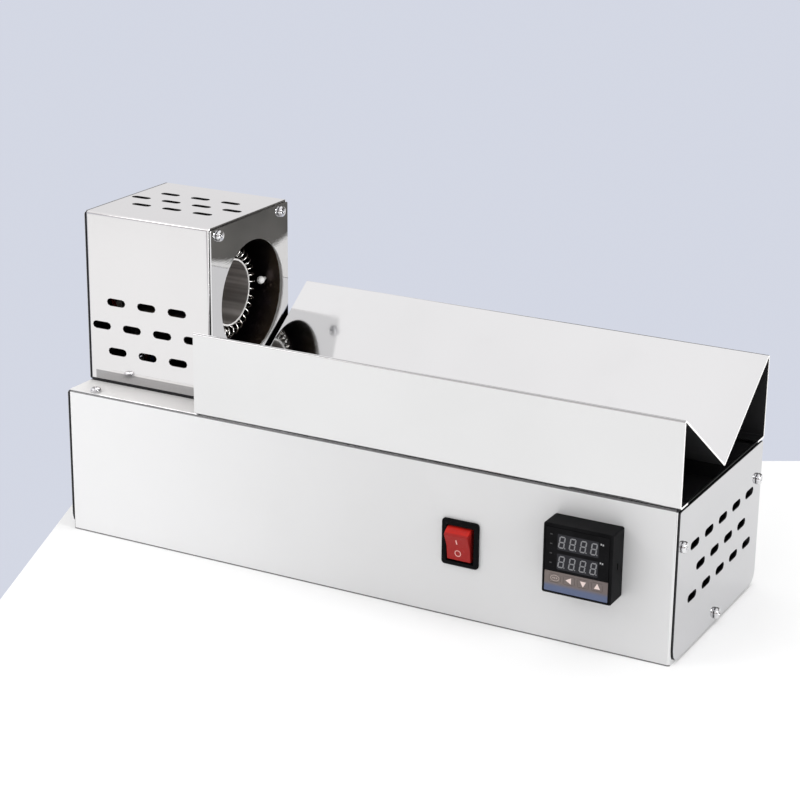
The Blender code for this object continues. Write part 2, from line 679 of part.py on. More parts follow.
def make_heater_cover():
    """Front, top and back of the heater box in one folded sheet with flanges."""
    low = (LEFT + PLATE_LAYER, BOX_FRONT, BOX_FOOT)
    high = (BOX_RIGHT - PLATE_LAYER, BOX_BACK, BOX_TOP)
    cover = make_object("heater_cover", folded_solid(low, high, FOLD_RADIUS), STEEL)
    inner_low, inner_high = inset(low, high, SHEET)
    cut(cover, folded_solid(inner_low, inner_high, FOLD_RADIUS - SHEET), "cavity")
    ends = bmesh.new()
    block(ends, (LEFT - SHEET, BOX_FRONT + BOX_FLANGE, BASE_HEIGHT - SHEET),
          (BOX_RIGHT + SHEET, BOX_BACK - BOX_FLANGE, BOX_TOP - SHEET))
    cut(cover, ends, "ends")
    bore = bmesh.new()
    prism(bore, circle((MOUTH_Y, MOUTH_HEIGHT), CHAMBER_RADIUS + 3 * SEAT, TUBE_SIDES), "YZ",
          LEFT - SHEET, BOX_RIGHT + SHEET)
    cut(cover, bore, "bore")
    holes = bmesh.new()
    middle = (BOX_MIDDLE + BOX_SLOT_SHIFT, BASE_HEIGHT + BOX_SLOT_HEIGHT)
    for y in (BOX_FRONT, BOX_BACK):
        slot_rows(holes, BOX_SLOT_ROWS, middle, BOX_SLOT_LENGTH, BOX_SLOT_PITCH, BOX_SLOT_ROW_PITCH,
                  "XZ", y - 2 * SHEET, y + 2 * SHEET)
    top_middle = (BOX_MIDDLE + BOX_SLOT_SHIFT, BOX_SHIFT + TOP_SLOT_SHIFT)
    slot_rows(holes, BOX_SLOT_ROWS, top_middle, BOX_SLOT_LENGTH, BOX_SLOT_PITCH, BOX_SLOT_ROW_PITCH,
              "XY", BOX_TOP - 2 * SHEET, BOX_TOP + SHEET)
    for start, end in ((LEFT, low[0] + 2 * SHEET), (high[0] - 2 * SHEET, BOX_RIGHT)):
        for point in heater_plate_screws():
            screw_hole(holes, point, "YZ", start, end)
    for point in box_foot_screws():
        screw_hole(holes, point, "XY", BASE_HEIGHT - SHEET, BOX_FOOT + 2 * SHEET)
    cut(cover, holes, "holes")


def make_heater_plate(name, outside, mouth):
    """Flat plate that closes one end of the heater box; the right one has the mouth."""
    side = 1 if mouth else -1
    span = (outside - side * SHEET, outside)
    height = BOX_TOP - SHEET - SEAT - BOX_FOOT
    middle = (BOX_SHIFT, BOX_FOOT + height / 2)
    bm = bmesh.new()
    outline = rounded_rectangle(middle, BOX_DEPTH - 2 * PANEL_MARGIN, height, PANEL_TOP_RADIUS)
    prism(bm, outline, "YZ", *span)
    plate = make_object(name, bm, STEEL)
    holes = bmesh.new()
    reach = (span[0] - side * SHEET, span[1] + side * SHEET)
    for point in heater_plate_screws():
        screw_hole(holes, point, "YZ", *reach)
    if mouth:
        prism(holes, circle((MOUTH_Y, MOUTH_HEIGHT), MOUTH_RADIUS, MOUTH_SIDES), "YZ", *reach)
    cut(plate, holes, "holes")


def make_trough():
    """V-shaped bottle trough: one sheet folded to an M, its feet on the base's top."""
    half = SHEET / 2
    side = BACK - half
    foot = BASE_HEIGHT + SEAT + half
    ridge = BASE_HEIGHT + TROUGH_HEIGHT - half
    valley = BASE_HEIGHT + TROUGH_VALLEY - half
    inner = BACK - TROUGH_FOOT
    points = ((-inner, foot), (-side, foot), (-side, ridge), (0.0, valley), (side, ridge), (side, foot), (inner, foot))
    fold = FOLD_RADIUS - half
    radii = (fold, RIDGE_RADIUS, fold, RIDGE_RADIUS, fold)
    bm = bmesh.new()
    prism(bm, bent_sheet(points, radii, SHEET, FOLD_STEPS), "YZ", LEFT + TROUGH_START, RIGHT)
    trough = make_object("bottle_trough", bm, STEEL)
    holes = bmesh.new()
    for point in trough_screws():
        screw_hole(holes, point, "XY", BASE_HEIGHT - SHEET, BASE_HEIGHT + SEAT + 2 * SHEET)
    cut(trough, holes, "holes")


def chamber_axis(x):
    """Point of the chamber's axis at x."""
    return Vector((x, MOUTH_Y, MOUTH_HEIGHT))


def around_axis(x, radius, angle_deg):
    """Point at a radius and an angle round the chamber's axis, from +Y towards +Z."""
    angle = math.radians(angle_deg)
    return chamber_axis(x) + Vector((0, radius * math.cos(angle), radius * math.sin(angle)))


def make_chamber_tube():
    """Outer tube of the chamber, welded to the back of the mouth plate."""
    inside = CHAMBER_RADIUS - SHEET
    profile = ((CHAMBER_RADIUS, 0.0), (CHAMBER_RADIUS, CHAMBER_LENGTH), (inside, CHAMBER_LENGTH), (inside, 0.0))
    bm = bmesh.new()
    lathe(bm, profile, chamber_axis(CHAMBER_BACK), (1, 0, 0), TUBE_SIDES, ring=True)
    tube = make_object("chamber_tube", bm, DARK_STEEL)
    holes = bmesh.new()
    for angle in (0.0, 180.0):
        start = around_axis(bead_x(), CHAMBER_RADIUS - 3 * SHEET, angle)
        axis = around_axis(0, 1, angle) - chamber_axis(0)
        lathe(holes, ((0, 0), (BEAD_STEM + SEAT, 0), (BEAD_STEM + SEAT, 4 * SHEET), (0, 4 * SHEET)), start, axis, 8)
    cut(tube, holes, "holes")


def make_chamber_disc():
    """Disc that closes the back of the chamber, with holes for the wire and the probe."""
    bm = bmesh.new()
    outline = circle((MOUTH_Y, MOUTH_HEIGHT), CHAMBER_RADIUS, TUBE_SIDES)
    prism(bm, outline, "YZ", DISC_BACK, DISC_BACK + SHEET)
    disc = make_object("chamber_back_disc", bm, DARK_STEEL)
    holes = bmesh.new()
    for point in coil_tail_places():
        prism(holes, circle(point, 4 * WIRE_RADIUS, 8), "YZ", DISC_BACK - SHEET, CHAMBER_BACK + SHEET)
    probe = (MOUTH_Y, MOUTH_HEIGHT - PROBE_LOW)
    prism(holes, circle(probe, PROBE_RADIUS + SEAT, 12), "YZ", DISC_BACK - SHEET, CHAMBER_BACK + SHEET)
    cut(disc, holes, "holes")


def make_inner_sleeve():
    """Drawn cup for the bottle's neck, open towards the mouth."""
    rim = CHAMBER_FRONT - SLEEVE_DEPTH
    back = CHAMBER_BACK + SEAT
    length = rim - back
    profile = (
        (0.0, 0.0),
        (SLEEVE_OUTSIDE - FOLD_RADIUS, 0.0),
        (SLEEVE_OUTSIDE - 0.3 * FOLD_RADIUS, 0.3 * FOLD_RADIUS),
        (SLEEVE_OUTSIDE, FOLD_RADIUS),
        (SLEEVE_OUTSIDE, length),
        (SLEEVE_RADIUS, length),
        (SLEEVE_RADIUS, FOLD_RADIUS),
        (SLEEVE_RADIUS - 0.3 * SHEET, SHEET),
        (0.0, SHEET),
    )
    bm = bmesh.new()
    lathe(bm, profile, chamber_axis(back), (1, 0, 0), SLEEVE_SIDES)
    make_object("inner_sleeve", bm, STEEL)


def coil_tail_places():
    """Places (y, z) where the coil's two ends run back through the chamber's disc."""
    places = []
    for side in (-1, 1):
        point = around_axis(0, COIL_MIDDLE, COIL_END_DEG + side * COIL_GAP_DEG / 2)
        places.append((point.y, point.z))
    return places


def make_heating_coil():
    """Resistance wire wound as a coil and bent to a ring round the sleeve, with two tails."""
    start = COIL_END_DEG + COIL_GAP_DEG / 2
    sweep_deg = 360 - COIL_GAP_DEG
    count = COIL_TURNS * COIL_POINTS
    path = []
    for step in range(count + 1):
        phase = math.tau * step / COIL_POINTS - math.pi / 2
        angle = start + sweep_deg * step / count
        x = COIL_X + COIL_RADIUS * math.sin(phase)
        path.append(around_axis(x, COIL_MIDDLE + COIL_RADIUS * math.cos(phase), angle))
    tail_end = DISC_BACK - TERMINAL_LENGTH / 2
    turn_in = COIL_X - COIL_RADIUS - 2 * WIRE_RADIUS
    first, last = path[0], path[-1]
    bend = Vector((turn_in, 0, 0))
    head = [Vector((tail_end, first.y, first.z)), Vector((bend.x, first.y, first.z))]
    tail = [Vector((bend.x, last.y, last.z)), Vector((tail_end, last.y, last.z))]
    bm = bmesh.new()
    sweep(bm, head + path + tail, WIRE_RADIUS, WIRE_SIDES)
    make_object("heating_coil", bm, WIRE, smooth_deg=80.0)


def bead_x():
    """Place along the axis of the beads that hold the coil."""
    return COIL_X + BEAD_FORWARD


def make_coil_standoff(name, angle):
    """Ceramic bead on a stem through the chamber's wall, touching the coil from outside."""
    axis = around_axis(0, 1, angle) - chamber_axis(0)
    bead = COIL_OUTSIDE + SEAT
    steps = 6
    profile = [(0.0, 0.0)]
    for step in range(1, steps):
        turned = math.pi * step / steps
        radius = BEAD_RADIUS * math.sin(turned)
        if turned > math.pi / 2 and radius < BEAD_STEM:
            break
        profile.append((radius, BEAD_RADIUS * (1 - math.cos(turned))))
    stem = CHAMBER_RADIUS + SHEET - bead
    profile += [(BEAD_STEM, 2 * BEAD_RADIUS - 0.3 * BEAD_STEM), (BEAD_STEM, stem), (0.0, stem)]
    bm = bmesh.new()
    lathe(bm, profile, around_axis(bead_x(), bead, angle), axis, 10)
    make_object(name, bm, CERAMIC)


def make_coil_terminal():
    """Ceramic block behind the chamber that takes the coil's tails."""
    middle_y = sum(y for y, z in coil_tail_places()) / 2
    middle_z = sum(z for y, z in coil_tail_places()) / 2
    outline = rounded_rectangle((middle_y, middle_z), TERMINAL_WIDTH, TERMINAL_HEIGHT, 2 * SHEET)
    bm = bmesh.new()
    prism(bm, outline, "YZ", DISC_BACK - SEAT - TERMINAL_LENGTH, DISC_BACK - SEAT)
    terminal = make_object("coil_terminal", bm, CERAMIC)
    holes = bmesh.new()
    for point in coil_tail_places():
        prism(holes, circle(point, LEAD_RADIUS + SEAT, 10), "YZ", DISC_BACK - 2 * TERMINAL_LENGTH, DISC_BACK)
    cut(terminal, holes, "holes")


def make_probe():
    """Temperature probe through the chamber's disc, under the sleeve."""
    start = DISC_BACK - SEAT - PROBE_HEX_LENGTH
    reach = PROBE_HEX_LENGTH + PROBE_REACH
    bm = bmesh.new()
    lathe(bm, ((0, 0), (PROBE_HEX, 0), (PROBE_HEX, PROBE_HEX_LENGTH), (PROBE_RADIUS, PROBE_HEX_LENGTH),
               (PROBE_RADIUS, reach - PROBE_RADIUS), (PROBE_RADIUS * 0.7, reach - 0.3 * PROBE_RADIUS), (0, reach)),
          (start, MOUTH_Y, MOUTH_HEIGHT - PROBE_LOW), (1, 0, 0), 12)
    make_object("thermocouple_probe", bm, STEEL)


def controller_front():
    """World y of the controller's front face."""
    return FRONT - CONTROLLER_PROUD


def overlay_top():
    """World z of the upper edge of the key overlay."""
    low = CONTROLLER[1] - CONTROLLER_SIZE / 2 + CONTROLLER_RIM
    return low + OVERLAY_HEIGHT


def key_places():
    """Places (x, z) of the middles of the keys."""
    places = []
    for i in range(KEY_COUNT):
        x = CONTROLLER[0] + (i - (KEY_COUNT - 1) / 2) * KEY_PITCH
        places.append((x, overlay_top() - KEY_FROM_TOP))
    return places


def make_controller_case():
    """Moulded case: square bezel in front of the panel and a body behind it."""
    front = controller_front()
    size = CONTROLLER_SIZE
    body = CONTROLLER_CUTOUT - 2 * SEAT
    edge = CONTROLLER_EDGE
    seat = FRONT - SEAT
    sections = (
        (rounded_rectangle(CONTROLLER, size - 2 * edge, size - 2 * edge, edge / 2, 2), front),
        (rounded_rectangle(CONTROLLER, size, size, edge, 2), front + edge),
        (rounded_rectangle(CONTROLLER, size, size, edge, 2), seat),
        (rounded_rectangle(CONTROLLER, body, body, edge, 2), seat),
        (rounded_rectangle(CONTROLLER, body, body, edge, 2), FRONT + CONTROLLER_BODY_DEPTH),
    )
    bm = bmesh.new()
    loft(bm, sections, "XZ")
    case = make_object("controller_case", bm, BLACK)
    opening = size - 2 * CONTROLLER_RIM
    floor = front + WINDOW_THICKNESS + SEAT
    pockets = bmesh.new()
    prism(pockets, rounded_rectangle(CONTROLLER, opening, opening, SEAT, 1), "XZ", front - edge, floor)
    cut(case, pockets, "recess")
    wells = bmesh.new()
    well_height = KEY_HEIGHT + 2 * (KEY_LIP + SEAT)
    well_width = (KEY_COUNT - 1) * KEY_PITCH + KEY_WIDTH + 2 * (KEY_LIP + SEAT)
    middle = (CONTROLLER[0], overlay_top() - KEY_FROM_TOP)
    prism(wells, rounded_rectangle(middle, well_width, well_height, SEAT, 1), "XZ", front, floor + KEY_WELL)
    notch_x = CONTROLLER[0] + size / 2
    middle_y = (front + FRONT) / 2
    block(wells, (notch_x - NOTCH_DEPTH, middle_y - NOTCH_DEPTH, CONTROLLER[1] - NOTCH_HEIGHT / 2),
          (notch_x + NOTCH_DEPTH, middle_y + NOTCH_DEPTH, CONTROLLER[1] + NOTCH_HEIGHT / 2))
    cut(case, wells, "wells")


def make_display_window():
    """Smoked window over the two rows of digits."""
    top = CONTROLLER[1] + CONTROLLER_SIZE / 2 - CONTROLLER_RIM - SEAT
    bottom = overlay_top() + SEAT
    width = CONTROLLER_SIZE - 2 * (CONTROLLER_RIM + SEAT)
    middle = (CONTROLLER[0], (top + bottom) / 2)
    bm = bmesh.new()
    front = controller_front()
    prism(bm, rounded_rectangle(middle, width, top - bottom, SEAT, 1), "XZ", front, front + WINDOW_THICKNESS)
    make_object("display_window", bm, SMOKED)


def make_key_overlay():
    """Printed strip under the window, with an opening for each key."""
    front = controller_front()
    width = CONTROLLER_SIZE - 2 * (CONTROLLER_RIM + SEAT)
    height = OVERLAY_HEIGHT - SEAT
    middle = (CONTROLLER[0], overlay_top() - height / 2)
    bm = bmesh.new()
    prism(bm, rounded_rectangle(middle, width, height, SEAT, 1), "XZ", front, front + WINDOW_THICKNESS)
    overlay = make_object("key_overlay", bm, OVERLAY)
    holes = bmesh.new()
    for point in key_places():
        opening = rounded_rectangle(point, KEY_WIDTH + 2 * SEAT, KEY_HEIGHT + 2 * SEAT, 3 * SEAT, 2)
        prism(holes, opening, "XZ", front - WINDOW_THICKNESS, front + 2 * WINDOW_THICKNESS)
    cut(overlay, holes, "holes")


def make_key(name, point):
    """One key: a cap level with the overlay and a lip behind it."""
    front = controller_front()
    lip = front + WINDOW_THICKNESS + SEAT
    cap = rounded_rectangle(point, KEY_WIDTH, KEY_HEIGHT, 2 * SEAT, 2)
    wide = rounded_rectangle(point, KEY_WIDTH + 2 * KEY_LIP, KEY_HEIGHT + 2 * KEY_LIP, 2 * SEAT, 2)
    bm = bmesh.new()
    loft(bm, ((cap, front), (cap, lip), (wide, lip), (wide, lip + KEY_LIP_DEPTH)), "XZ")
    make_object(name, bm, KEY, (point[0], front, point[1]))


def make_controller_clamp():
    """Plastic frame that holds the controller from behind the panel."""
    start = FRONT + SHEET + SEAT
    bm = bmesh.new()
    prism(bm, rounded_rectangle(CONTROLLER, CLAMP_WIDTH, CLAMP_WIDTH, 2 * SHEET), "XZ", start, start + CLAMP_DEPTH)
    clamp = make_object("controller_clamp", bm, BLACK)
    hole = bmesh.new()
    prism(hole, rounded_rectangle(CONTROLLER, CONTROLLER_CUTOUT, CONTROLLER_CUTOUT, SHEET), "XZ",
          start - CLAMP_DEPTH, start + 2 * CLAMP_DEPTH)
    cut(clamp, hole, "hole")


def rocker_reach():
    """Distance from the rocker's axis to the ends of its face."""
    depth = ROCKER_PIVOT + ROCKER_FACE + ROCKER_HALF * math.tan(math.radians(ROCKER_VEE_DEG))
    return math.hypot(depth, ROCKER_HALF)


def switch_body_height():
    """Height of the part of the switch behind the panel."""
    return 2 * (rocker_reach() + ROCKER_PLAY + SHEET)


def switch_outline(width, height):
    """Outline of a section of the switch, round at its corners."""
    return rounded_rectangle(SWITCH, width, height, SWITCH_CORNER / 2, 3)


def make_switch_frame():
    """Moulded frame and body of the switch."""
    front = FRONT - SEAT - SWITCH_PROUD
    seat = FRONT - SEAT
    body = (SWITCH_BODY_WIDTH, switch_body_height())
    bezel = rounded_rectangle(SWITCH, SWITCH_WIDTH, SWITCH_HEIGHT, SWITCH_CORNER)
    edge = 0.35 * SWITCH_PROUD
    small = rounded_rectangle(SWITCH, SWITCH_WIDTH - 2 * edge, SWITCH_HEIGHT - 2 * edge, SWITCH_CORNER - edge / 2)
    rear = FRONT + SWITCH_BODY_DEPTH
    bm = bmesh.new()
    sections = (
        (small, front),
        (bezel, front + edge),
        (bezel, seat),
        (switch_outline(*body), seat),
        (switch_outline(*body), rear),
    )
    loft(bm, sections, "XZ")
    frame = make_object("switch_frame", bm, BLACK)
    opening = bmesh.new()
    width = ROCKER_WIDTH + 2 * ROCKER_PLAY
    height = 2 * (rocker_reach() + ROCKER_PLAY)
    pocket_end = front + ROCKER_PIVOT + rocker_reach() + ROCKER_PLAY
    prism(opening, rounded_rectangle(SWITCH, width, height, SEAT, 1), "XZ", front - SHEET, pocket_end)
    cut(frame, opening, "opening")


def rocker_outline():
    """Side outline (depth, height) about the axis, tilted to the off stop."""
    vee = math.tan(math.radians(ROCKER_VEE_DEG))
    face = ROCKER_PIVOT + ROCKER_FACE
    reach = rocker_reach()
    points = [(-face, 0.0), (-face - ROCKER_HALF * vee, ROCKER_HALF)]
    start = math.atan2(ROCKER_HALF, -face - ROCKER_HALF * vee)
    end = math.radians(75)
    steps = 5
    for step in range(1, steps + 1):
        angle = start + (end - start) * step / steps
        points.append((reach * math.cos(angle), reach * math.sin(angle)))
    mirrored = [(depth, -height) for depth, height in points[:0:-1]]
    turned = []
    tilt = math.radians(ROCKER_TILT_DEG)
    for depth, height in points + mirrored:
        turned.append((depth * math.cos(tilt) - height * math.sin(tilt),
                       depth * math.sin(tilt) + height * math.cos(tilt)))
    return turned


def rocker_axis():
    """Point of the rocker's axis in the middle of the switch."""
    return Vector((SWITCH[0], FRONT - SEAT - SWITCH_PROUD + ROCKER_PIVOT, SWITCH[1]))


def make_rocker():
    """Red rocker, resting in its off position with the upper end out."""
    axis = rocker_axis()
    outline = [(axis.y + depth, axis.z + height) for depth, height in rocker_outline()]
    bm = bmesh.new()
    prism(bm, outline, "YZ", axis.x - ROCKER_WIDTH / 2, axis.x + ROCKER_WIDTH / 2)
    make_object("switch_rocker", bm, RED, axis)


def socket_outline():
    """Outline of the inlet's socket: a rectangle with its two upper corners cut."""
    half_w = INLET_SOCKET_WIDTH / 2
    half_h = INLET_SOCKET_HEIGHT / 2
    corner = INLET_SOCKET_CORNER
    shape = ((-half_w, -half_h), (half_w, -half_h), (half_w, half_h - corner), (half_w - corner, half_h),
             (corner - half_w, half_h), (-half_w, half_h - corner))
    return [(INLET[0] + u, INLET[1] + v) for u, v in shape]


def make_power_inlet():
    """Panel inlet for a mains lead, in the back of the base."""
    seat = BACK + SEAT
    flange = rounded_rectangle(INLET, INLET_FLANGE_WIDTH, INLET_FLANGE_HEIGHT, 4 * SHEET)
    edge = SHEET / 2
    small = rounded_rectangle(INLET, INLET_FLANGE_WIDTH - edge, INLET_FLANGE_HEIGHT - edge, 4 * SHEET)
    body = rounded_rectangle(INLET, INLET_BODY_WIDTH, INLET_BODY_HEIGHT, SHEET)
    bm = bmesh.new()
    sections = (
        (small, seat + INLET_FLANGE),
        (flange, seat + INLET_FLANGE - edge),
        (flange, seat),
        (body, seat),
        (body, seat - INLET_BODY_DEPTH),
    )
    loft(bm, sections, "XZ")
    inlet = make_object("power_inlet", bm, BLACK)
    holes = bmesh.new()
    mouth = seat + INLET_FLANGE
    prism(holes, socket_outline(), "XZ", mouth - INLET_SOCKET_DEPTH, mouth + SHEET)
    for point in inlet_screws():
        screw_hole(holes, point, "XZ", seat - SHEET, mouth + SHEET)
    cut(inlet, holes, "holes")
    slots = bmesh.new()
    for point in pin_places():
        slot = rounded_rectangle(point, PIN_WIDTH + 2 * SEAT, PIN_HEIGHT + 2 * SEAT, SEAT, 1)
        prism(slots, slot, "XZ", seat - INLET_BODY_DEPTH - SHEET, mouth - INLET_SOCKET_DEPTH + SHEET)
    cut(inlet, slots, "slots")


def pin_places():
    """Places (x, z) of the three contact pins, the middle one raised."""
    places = []
    for i in (-1, 0, 1):
        raised = PIN_RAISE if i == 0 else 0.0
        places.append((INLET[0] + i * PIN_PITCH, INLET[1] - PIN_RAISE / 2 + raised))
    return places


def make_inlet_pin(name, point):
    """Contact pin: through the inlet's back wall, with a rounded end in the socket."""
    seat = BACK + SEAT
    full = rounded_rectangle(point, PIN_WIDTH, PIN_HEIGHT, SEAT, 1)
    tip = rounded_rectangle(point, PIN_WIDTH * 0.6, PIN_HEIGHT * 0.8, SEAT, 1)
    mouth = seat + INLET_FLANGE
    bm = bmesh.new()
    sections = (
        (full, seat - INLET_BODY_DEPTH - PIN_TAIL),
        (full, mouth - 3 * PIN_WIDTH),
        (tip, mouth - 2.4 * PIN_WIDTH),
    )
    loft(bm, sections, "XZ")
    make_object(name, bm, CHROME)


def make_relay():
    """Solid-state relay on the tray, with a step at each end for its terminals."""
    length, depth, height = RELAY_SIZE
    x = LEFT + RELAY_X
    floor = TRAY_FLOOR + SEAT
    step = 0.2 * length
    low = RELAY_STEP * height
    outline = (
        (x - length / 2, floor), (x + length / 2, floor), (x + length / 2, floor + low),
        (x + length / 2 - step, floor + low), (x + length / 2 - step, floor + height),
        (x - length / 2 + step, floor + height), (x - length / 2 + step, floor + low), (x - length / 2, floor + low),
    )
    bm = bmesh.new()
    prism(bm, outline, "XZ", RELAY_Y - depth / 2, RELAY_Y + depth / 2)
    make_object("relay", bm, GREY_PLASTIC)


def make_terminal_strip():
    """Barrier strip for the mains wiring: walls between open poles."""
    x = LEFT + STRIP_X
    floor = TRAY_FLOOR + SEAT
    length = STRIP_POLES * STRIP_POLE + STRIP_WALL
    outline = [(x - length / 2, floor), (x + length / 2, floor)]
    top = floor + STRIP_HEIGHT
    low = floor + STRIP_HEIGHT * 0.5
    for i in range(STRIP_POLES, -1, -1):
        wall = x - length / 2 + i * STRIP_POLE
        outline += [(wall + STRIP_WALL, top), (wall, top)]
        if i > 0:
            outline += [(wall, low), (wall - STRIP_POLE + STRIP_WALL, low)]
    bm = bmesh.new()
    prism(bm, outline, "XZ", STRIP_Y - STRIP_DEPTH / 2, STRIP_Y + STRIP_DEPTH / 2)
    make_object("terminal_strip", bm, BLACK)


def lead(name, points, radius, values):
    """An insulated lead along a smooth route through the given points."""
    bm = bmesh.new()
    sweep(bm, smooth_route([Vector(point) for point in points], 3), radius, LEAD_SIDES)
    make_object(name, bm, values)


def make_leads():
    """The coil's two leads to the relay and the probe's lead to the controller."""
    hole_x, hole_y = LEAD_HOLE
    length, depth, height = RELAY_SIZE
    relay_x = LEFT + RELAY_X - 0.4 * length
    relay_top = TRAY_FLOOR + SEAT + RELAY_STEP * height + SEAT
    start_x = DISC_BACK - TERMINAL_LENGTH / 2 - SEAT
    for (y, z), side, name, values in zip(coil_tail_places(), (-1, 1),
                                          ("heater_lead_live", "heater_lead_neutral"), (RED_LEAD, BLUE_LEAD)):
        beside = side * LEAD_SPACING / 2
        out_x = start_x - TERMINAL_LENGTH / 2 - 2 * LEAD_RADIUS - LEAD_SPACING / 2 + beside
        end_y = RELAY_Y + side * 0.3 * depth
        points = (
            (start_x, y, z),
            (start_x - TERMINAL_LENGTH / 2, y, z),
            (start_x - TERMINAL_LENGTH / 2 - LEAD_RADIUS, y, z),
            (out_x, y, z - LEAD_SPACING),
            (out_x, y + LEAD_SPACING, z - 3 * LEAD_SPACING),
            (hole_x + beside, hole_y + LEAD_SPACING / 2, BASE_HEIGHT + 2 * LEAD_SPACING),
            (hole_x + beside, hole_y + LEAD_SPACING / 2, BASE_HEIGHT - 2 * LEAD_SPACING),
            (hole_x + 4 * LEAD_SPACING, hole_y + LEAD_SPACING + beside, BASE_HEIGHT - 7 * LEAD_SPACING + 2 * beside),
            (relay_x - LEAD_SPACING, end_y, relay_top + 2 * LEAD_SPACING),
            (relay_x, end_y, relay_top + LEAD_SPACING),
            (relay_x, end_y, relay_top),
        )
        lead(name, points, LEAD_RADIUS, values)
    probe_x = DISC_BACK - SEAT - PROBE_HEX_LENGTH - SEAT
    rear = FRONT + CONTROLLER_BODY_DEPTH
    points = (
        (probe_x, MOUTH_Y, MOUTH_HEIGHT - PROBE_LOW),
        (hole_x, MOUTH_Y, MOUTH_HEIGHT - PROBE_LOW - 0.003),
        (hole_x, hole_y - 0.8 * LEAD_SPACING, BASE_HEIGHT + 0.004),
        (hole_x, hole_y - 0.8 * LEAD_SPACING, BASE_HEIGHT - 0.006),
        (hole_x + 0.016, hole_y - 4 * LEAD_SPACING, BASE_HEIGHT - 0.014),
        (LEFT + 0.5 * BASE_LENGTH, hole_y - 4 * LEAD_SPACING, BASE_HEIGHT - 0.014),
        (CONTROLLER[0], rear + 0.016, CONTROLLER[1] + 0.008),
        (CONTROLLER[0], rear + 0.005, CONTROLLER[1]),
        (CONTROLLER[0], rear + SEAT, CONTROLLER[1]),
    )
    lead("thermocouple_lead", points, PROBE_LEAD_RADIUS, WHITE_LEAD)


def make_screws():
    """Every screw, on the outside face of the piece that it holds."""
    for side, outside, axis in (("left", LEFT, (-1, 0, 0)), ("right", RIGHT, (1, 0, 0))):
        for place_name, (y, z) in zip(("front", "back", "foot"), end_panel_screws()):
            screw(f"{side}_panel_screw_{place_name}", (outside, y, z), axis)
    corners = ("low_front", "low_back", "top_front", "top_back")
    for plate, outside, axis in (("rear_plate", LEFT, (-1, 0, 0)), ("mouth_plate", BOX_RIGHT, (1, 0, 0))):
        for corner, (y, z) in zip(corners, heater_plate_screws()):
            screw(f"{plate}_screw_{corner}", (outside, y, z), axis)
    for place_name, (x, y) in zip(("front", "back"), strip_screws()):
        screw(f"base_top_screw_{place_name}", (x, y, BASE_HEIGHT), (0, 0, 1))
    foot_top = BASE_HEIGHT + SEAT + SHEET
    for i, (x, y) in enumerate(trough_screws()):
        screw(f"trough_screw_{i + 1}", (x, y, foot_top), (0, 0, 1))
    for i, (x, y) in enumerate(box_foot_screws()):
        screw(f"heater_foot_screw_{i + 1}", (x, y, foot_top), (0, 0, 1))
    x, z = tray_screw()
    screw("tray_screw", (x, BACK, z), (0, 1, 0))
    for i, (x, z) in enumerate(inlet_screws()):
        screw(f"inlet_screw_{i + 1}", (x, BACK + SEAT + INLET_FLANGE, z), (0, 1, 0))


def main():
    """Build the whole machine."""
    clear_scene()
    make_base_shell()
    make_base_tray()
    make_end_panel("left_end_panel", LEFT, slotted=False)
    make_end_panel("right_end_panel", RIGHT, slotted=True)
    make_heater_cover()
    make_heater_plate("mouth_plate", BOX_RIGHT, mouth=True)
    make_heater_plate("heater_rear_plate", LEFT, mouth=False)
    make_trough()
    make_chamber_tube()
    make_chamber_disc()
    make_inner_sleeve()
    make_heating_coil()
    make_coil_standoff("coil_standoff_back", 0.0)
    make_coil_standoff("coil_standoff_front", 180.0)
    make_coil_terminal()
    make_probe()
    make_controller_case()
    make_display_window()
    make_key_overlay()
    for name, point in zip(("key_set", "key_left", "key_down", "key_up"), key_places()):
        make_key(name, point)
    make_controller_clamp()
    make_switch_frame()
    make_rocker()
    make_power_inlet()
    for name, point in zip(("inlet_pin_live", "inlet_pin_earth", "inlet_pin_neutral"), pin_places()):
        make_inlet_pin(name, point)
    make_relay()
    make_terminal_strip()
    make_leads()
    make_screws()


main()
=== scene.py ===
# %% [markdown]
# # A desktop heat shrinker for capsules and sleeves
# The real machine is folded from polished stainless sheet: a long base, a
# V-shaped trough, and a square heater box with a round mouth.
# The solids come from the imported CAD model. This file dresses them: it gives
# each sheet its polish, and it adds what plain solids lack, such as fine
# screw heads, a round wound heating wire and the marks on the controls.

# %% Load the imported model
import math
from functools import partialmethod

import bmesh
import bpy
from mathutils import Matrix, Vector
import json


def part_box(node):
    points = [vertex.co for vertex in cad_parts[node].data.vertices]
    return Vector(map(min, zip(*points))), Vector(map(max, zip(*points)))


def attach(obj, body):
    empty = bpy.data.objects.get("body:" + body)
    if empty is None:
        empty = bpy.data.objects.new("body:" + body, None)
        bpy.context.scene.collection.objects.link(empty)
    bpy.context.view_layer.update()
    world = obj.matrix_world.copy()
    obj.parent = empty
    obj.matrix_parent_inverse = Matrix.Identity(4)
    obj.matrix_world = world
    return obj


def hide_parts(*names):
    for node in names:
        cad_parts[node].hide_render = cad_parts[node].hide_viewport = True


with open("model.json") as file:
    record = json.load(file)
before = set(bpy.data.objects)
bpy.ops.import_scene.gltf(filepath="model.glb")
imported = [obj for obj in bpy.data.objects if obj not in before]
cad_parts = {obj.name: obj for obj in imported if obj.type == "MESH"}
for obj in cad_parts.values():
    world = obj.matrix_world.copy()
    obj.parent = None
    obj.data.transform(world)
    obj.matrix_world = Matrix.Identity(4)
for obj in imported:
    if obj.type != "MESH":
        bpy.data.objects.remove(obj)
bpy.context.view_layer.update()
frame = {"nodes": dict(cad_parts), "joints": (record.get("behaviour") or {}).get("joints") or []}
scene = bpy.context.scene
MM = 0.001

# %% [markdown]
# ## Camera
# The camera was fitted to corners, screws and slots of the machine: it stands
# in front and to the right, looks down by about 19 degrees and leans by less
# than one. Its matrix is written from those angles, because a look-at helper
# can't give the lean.

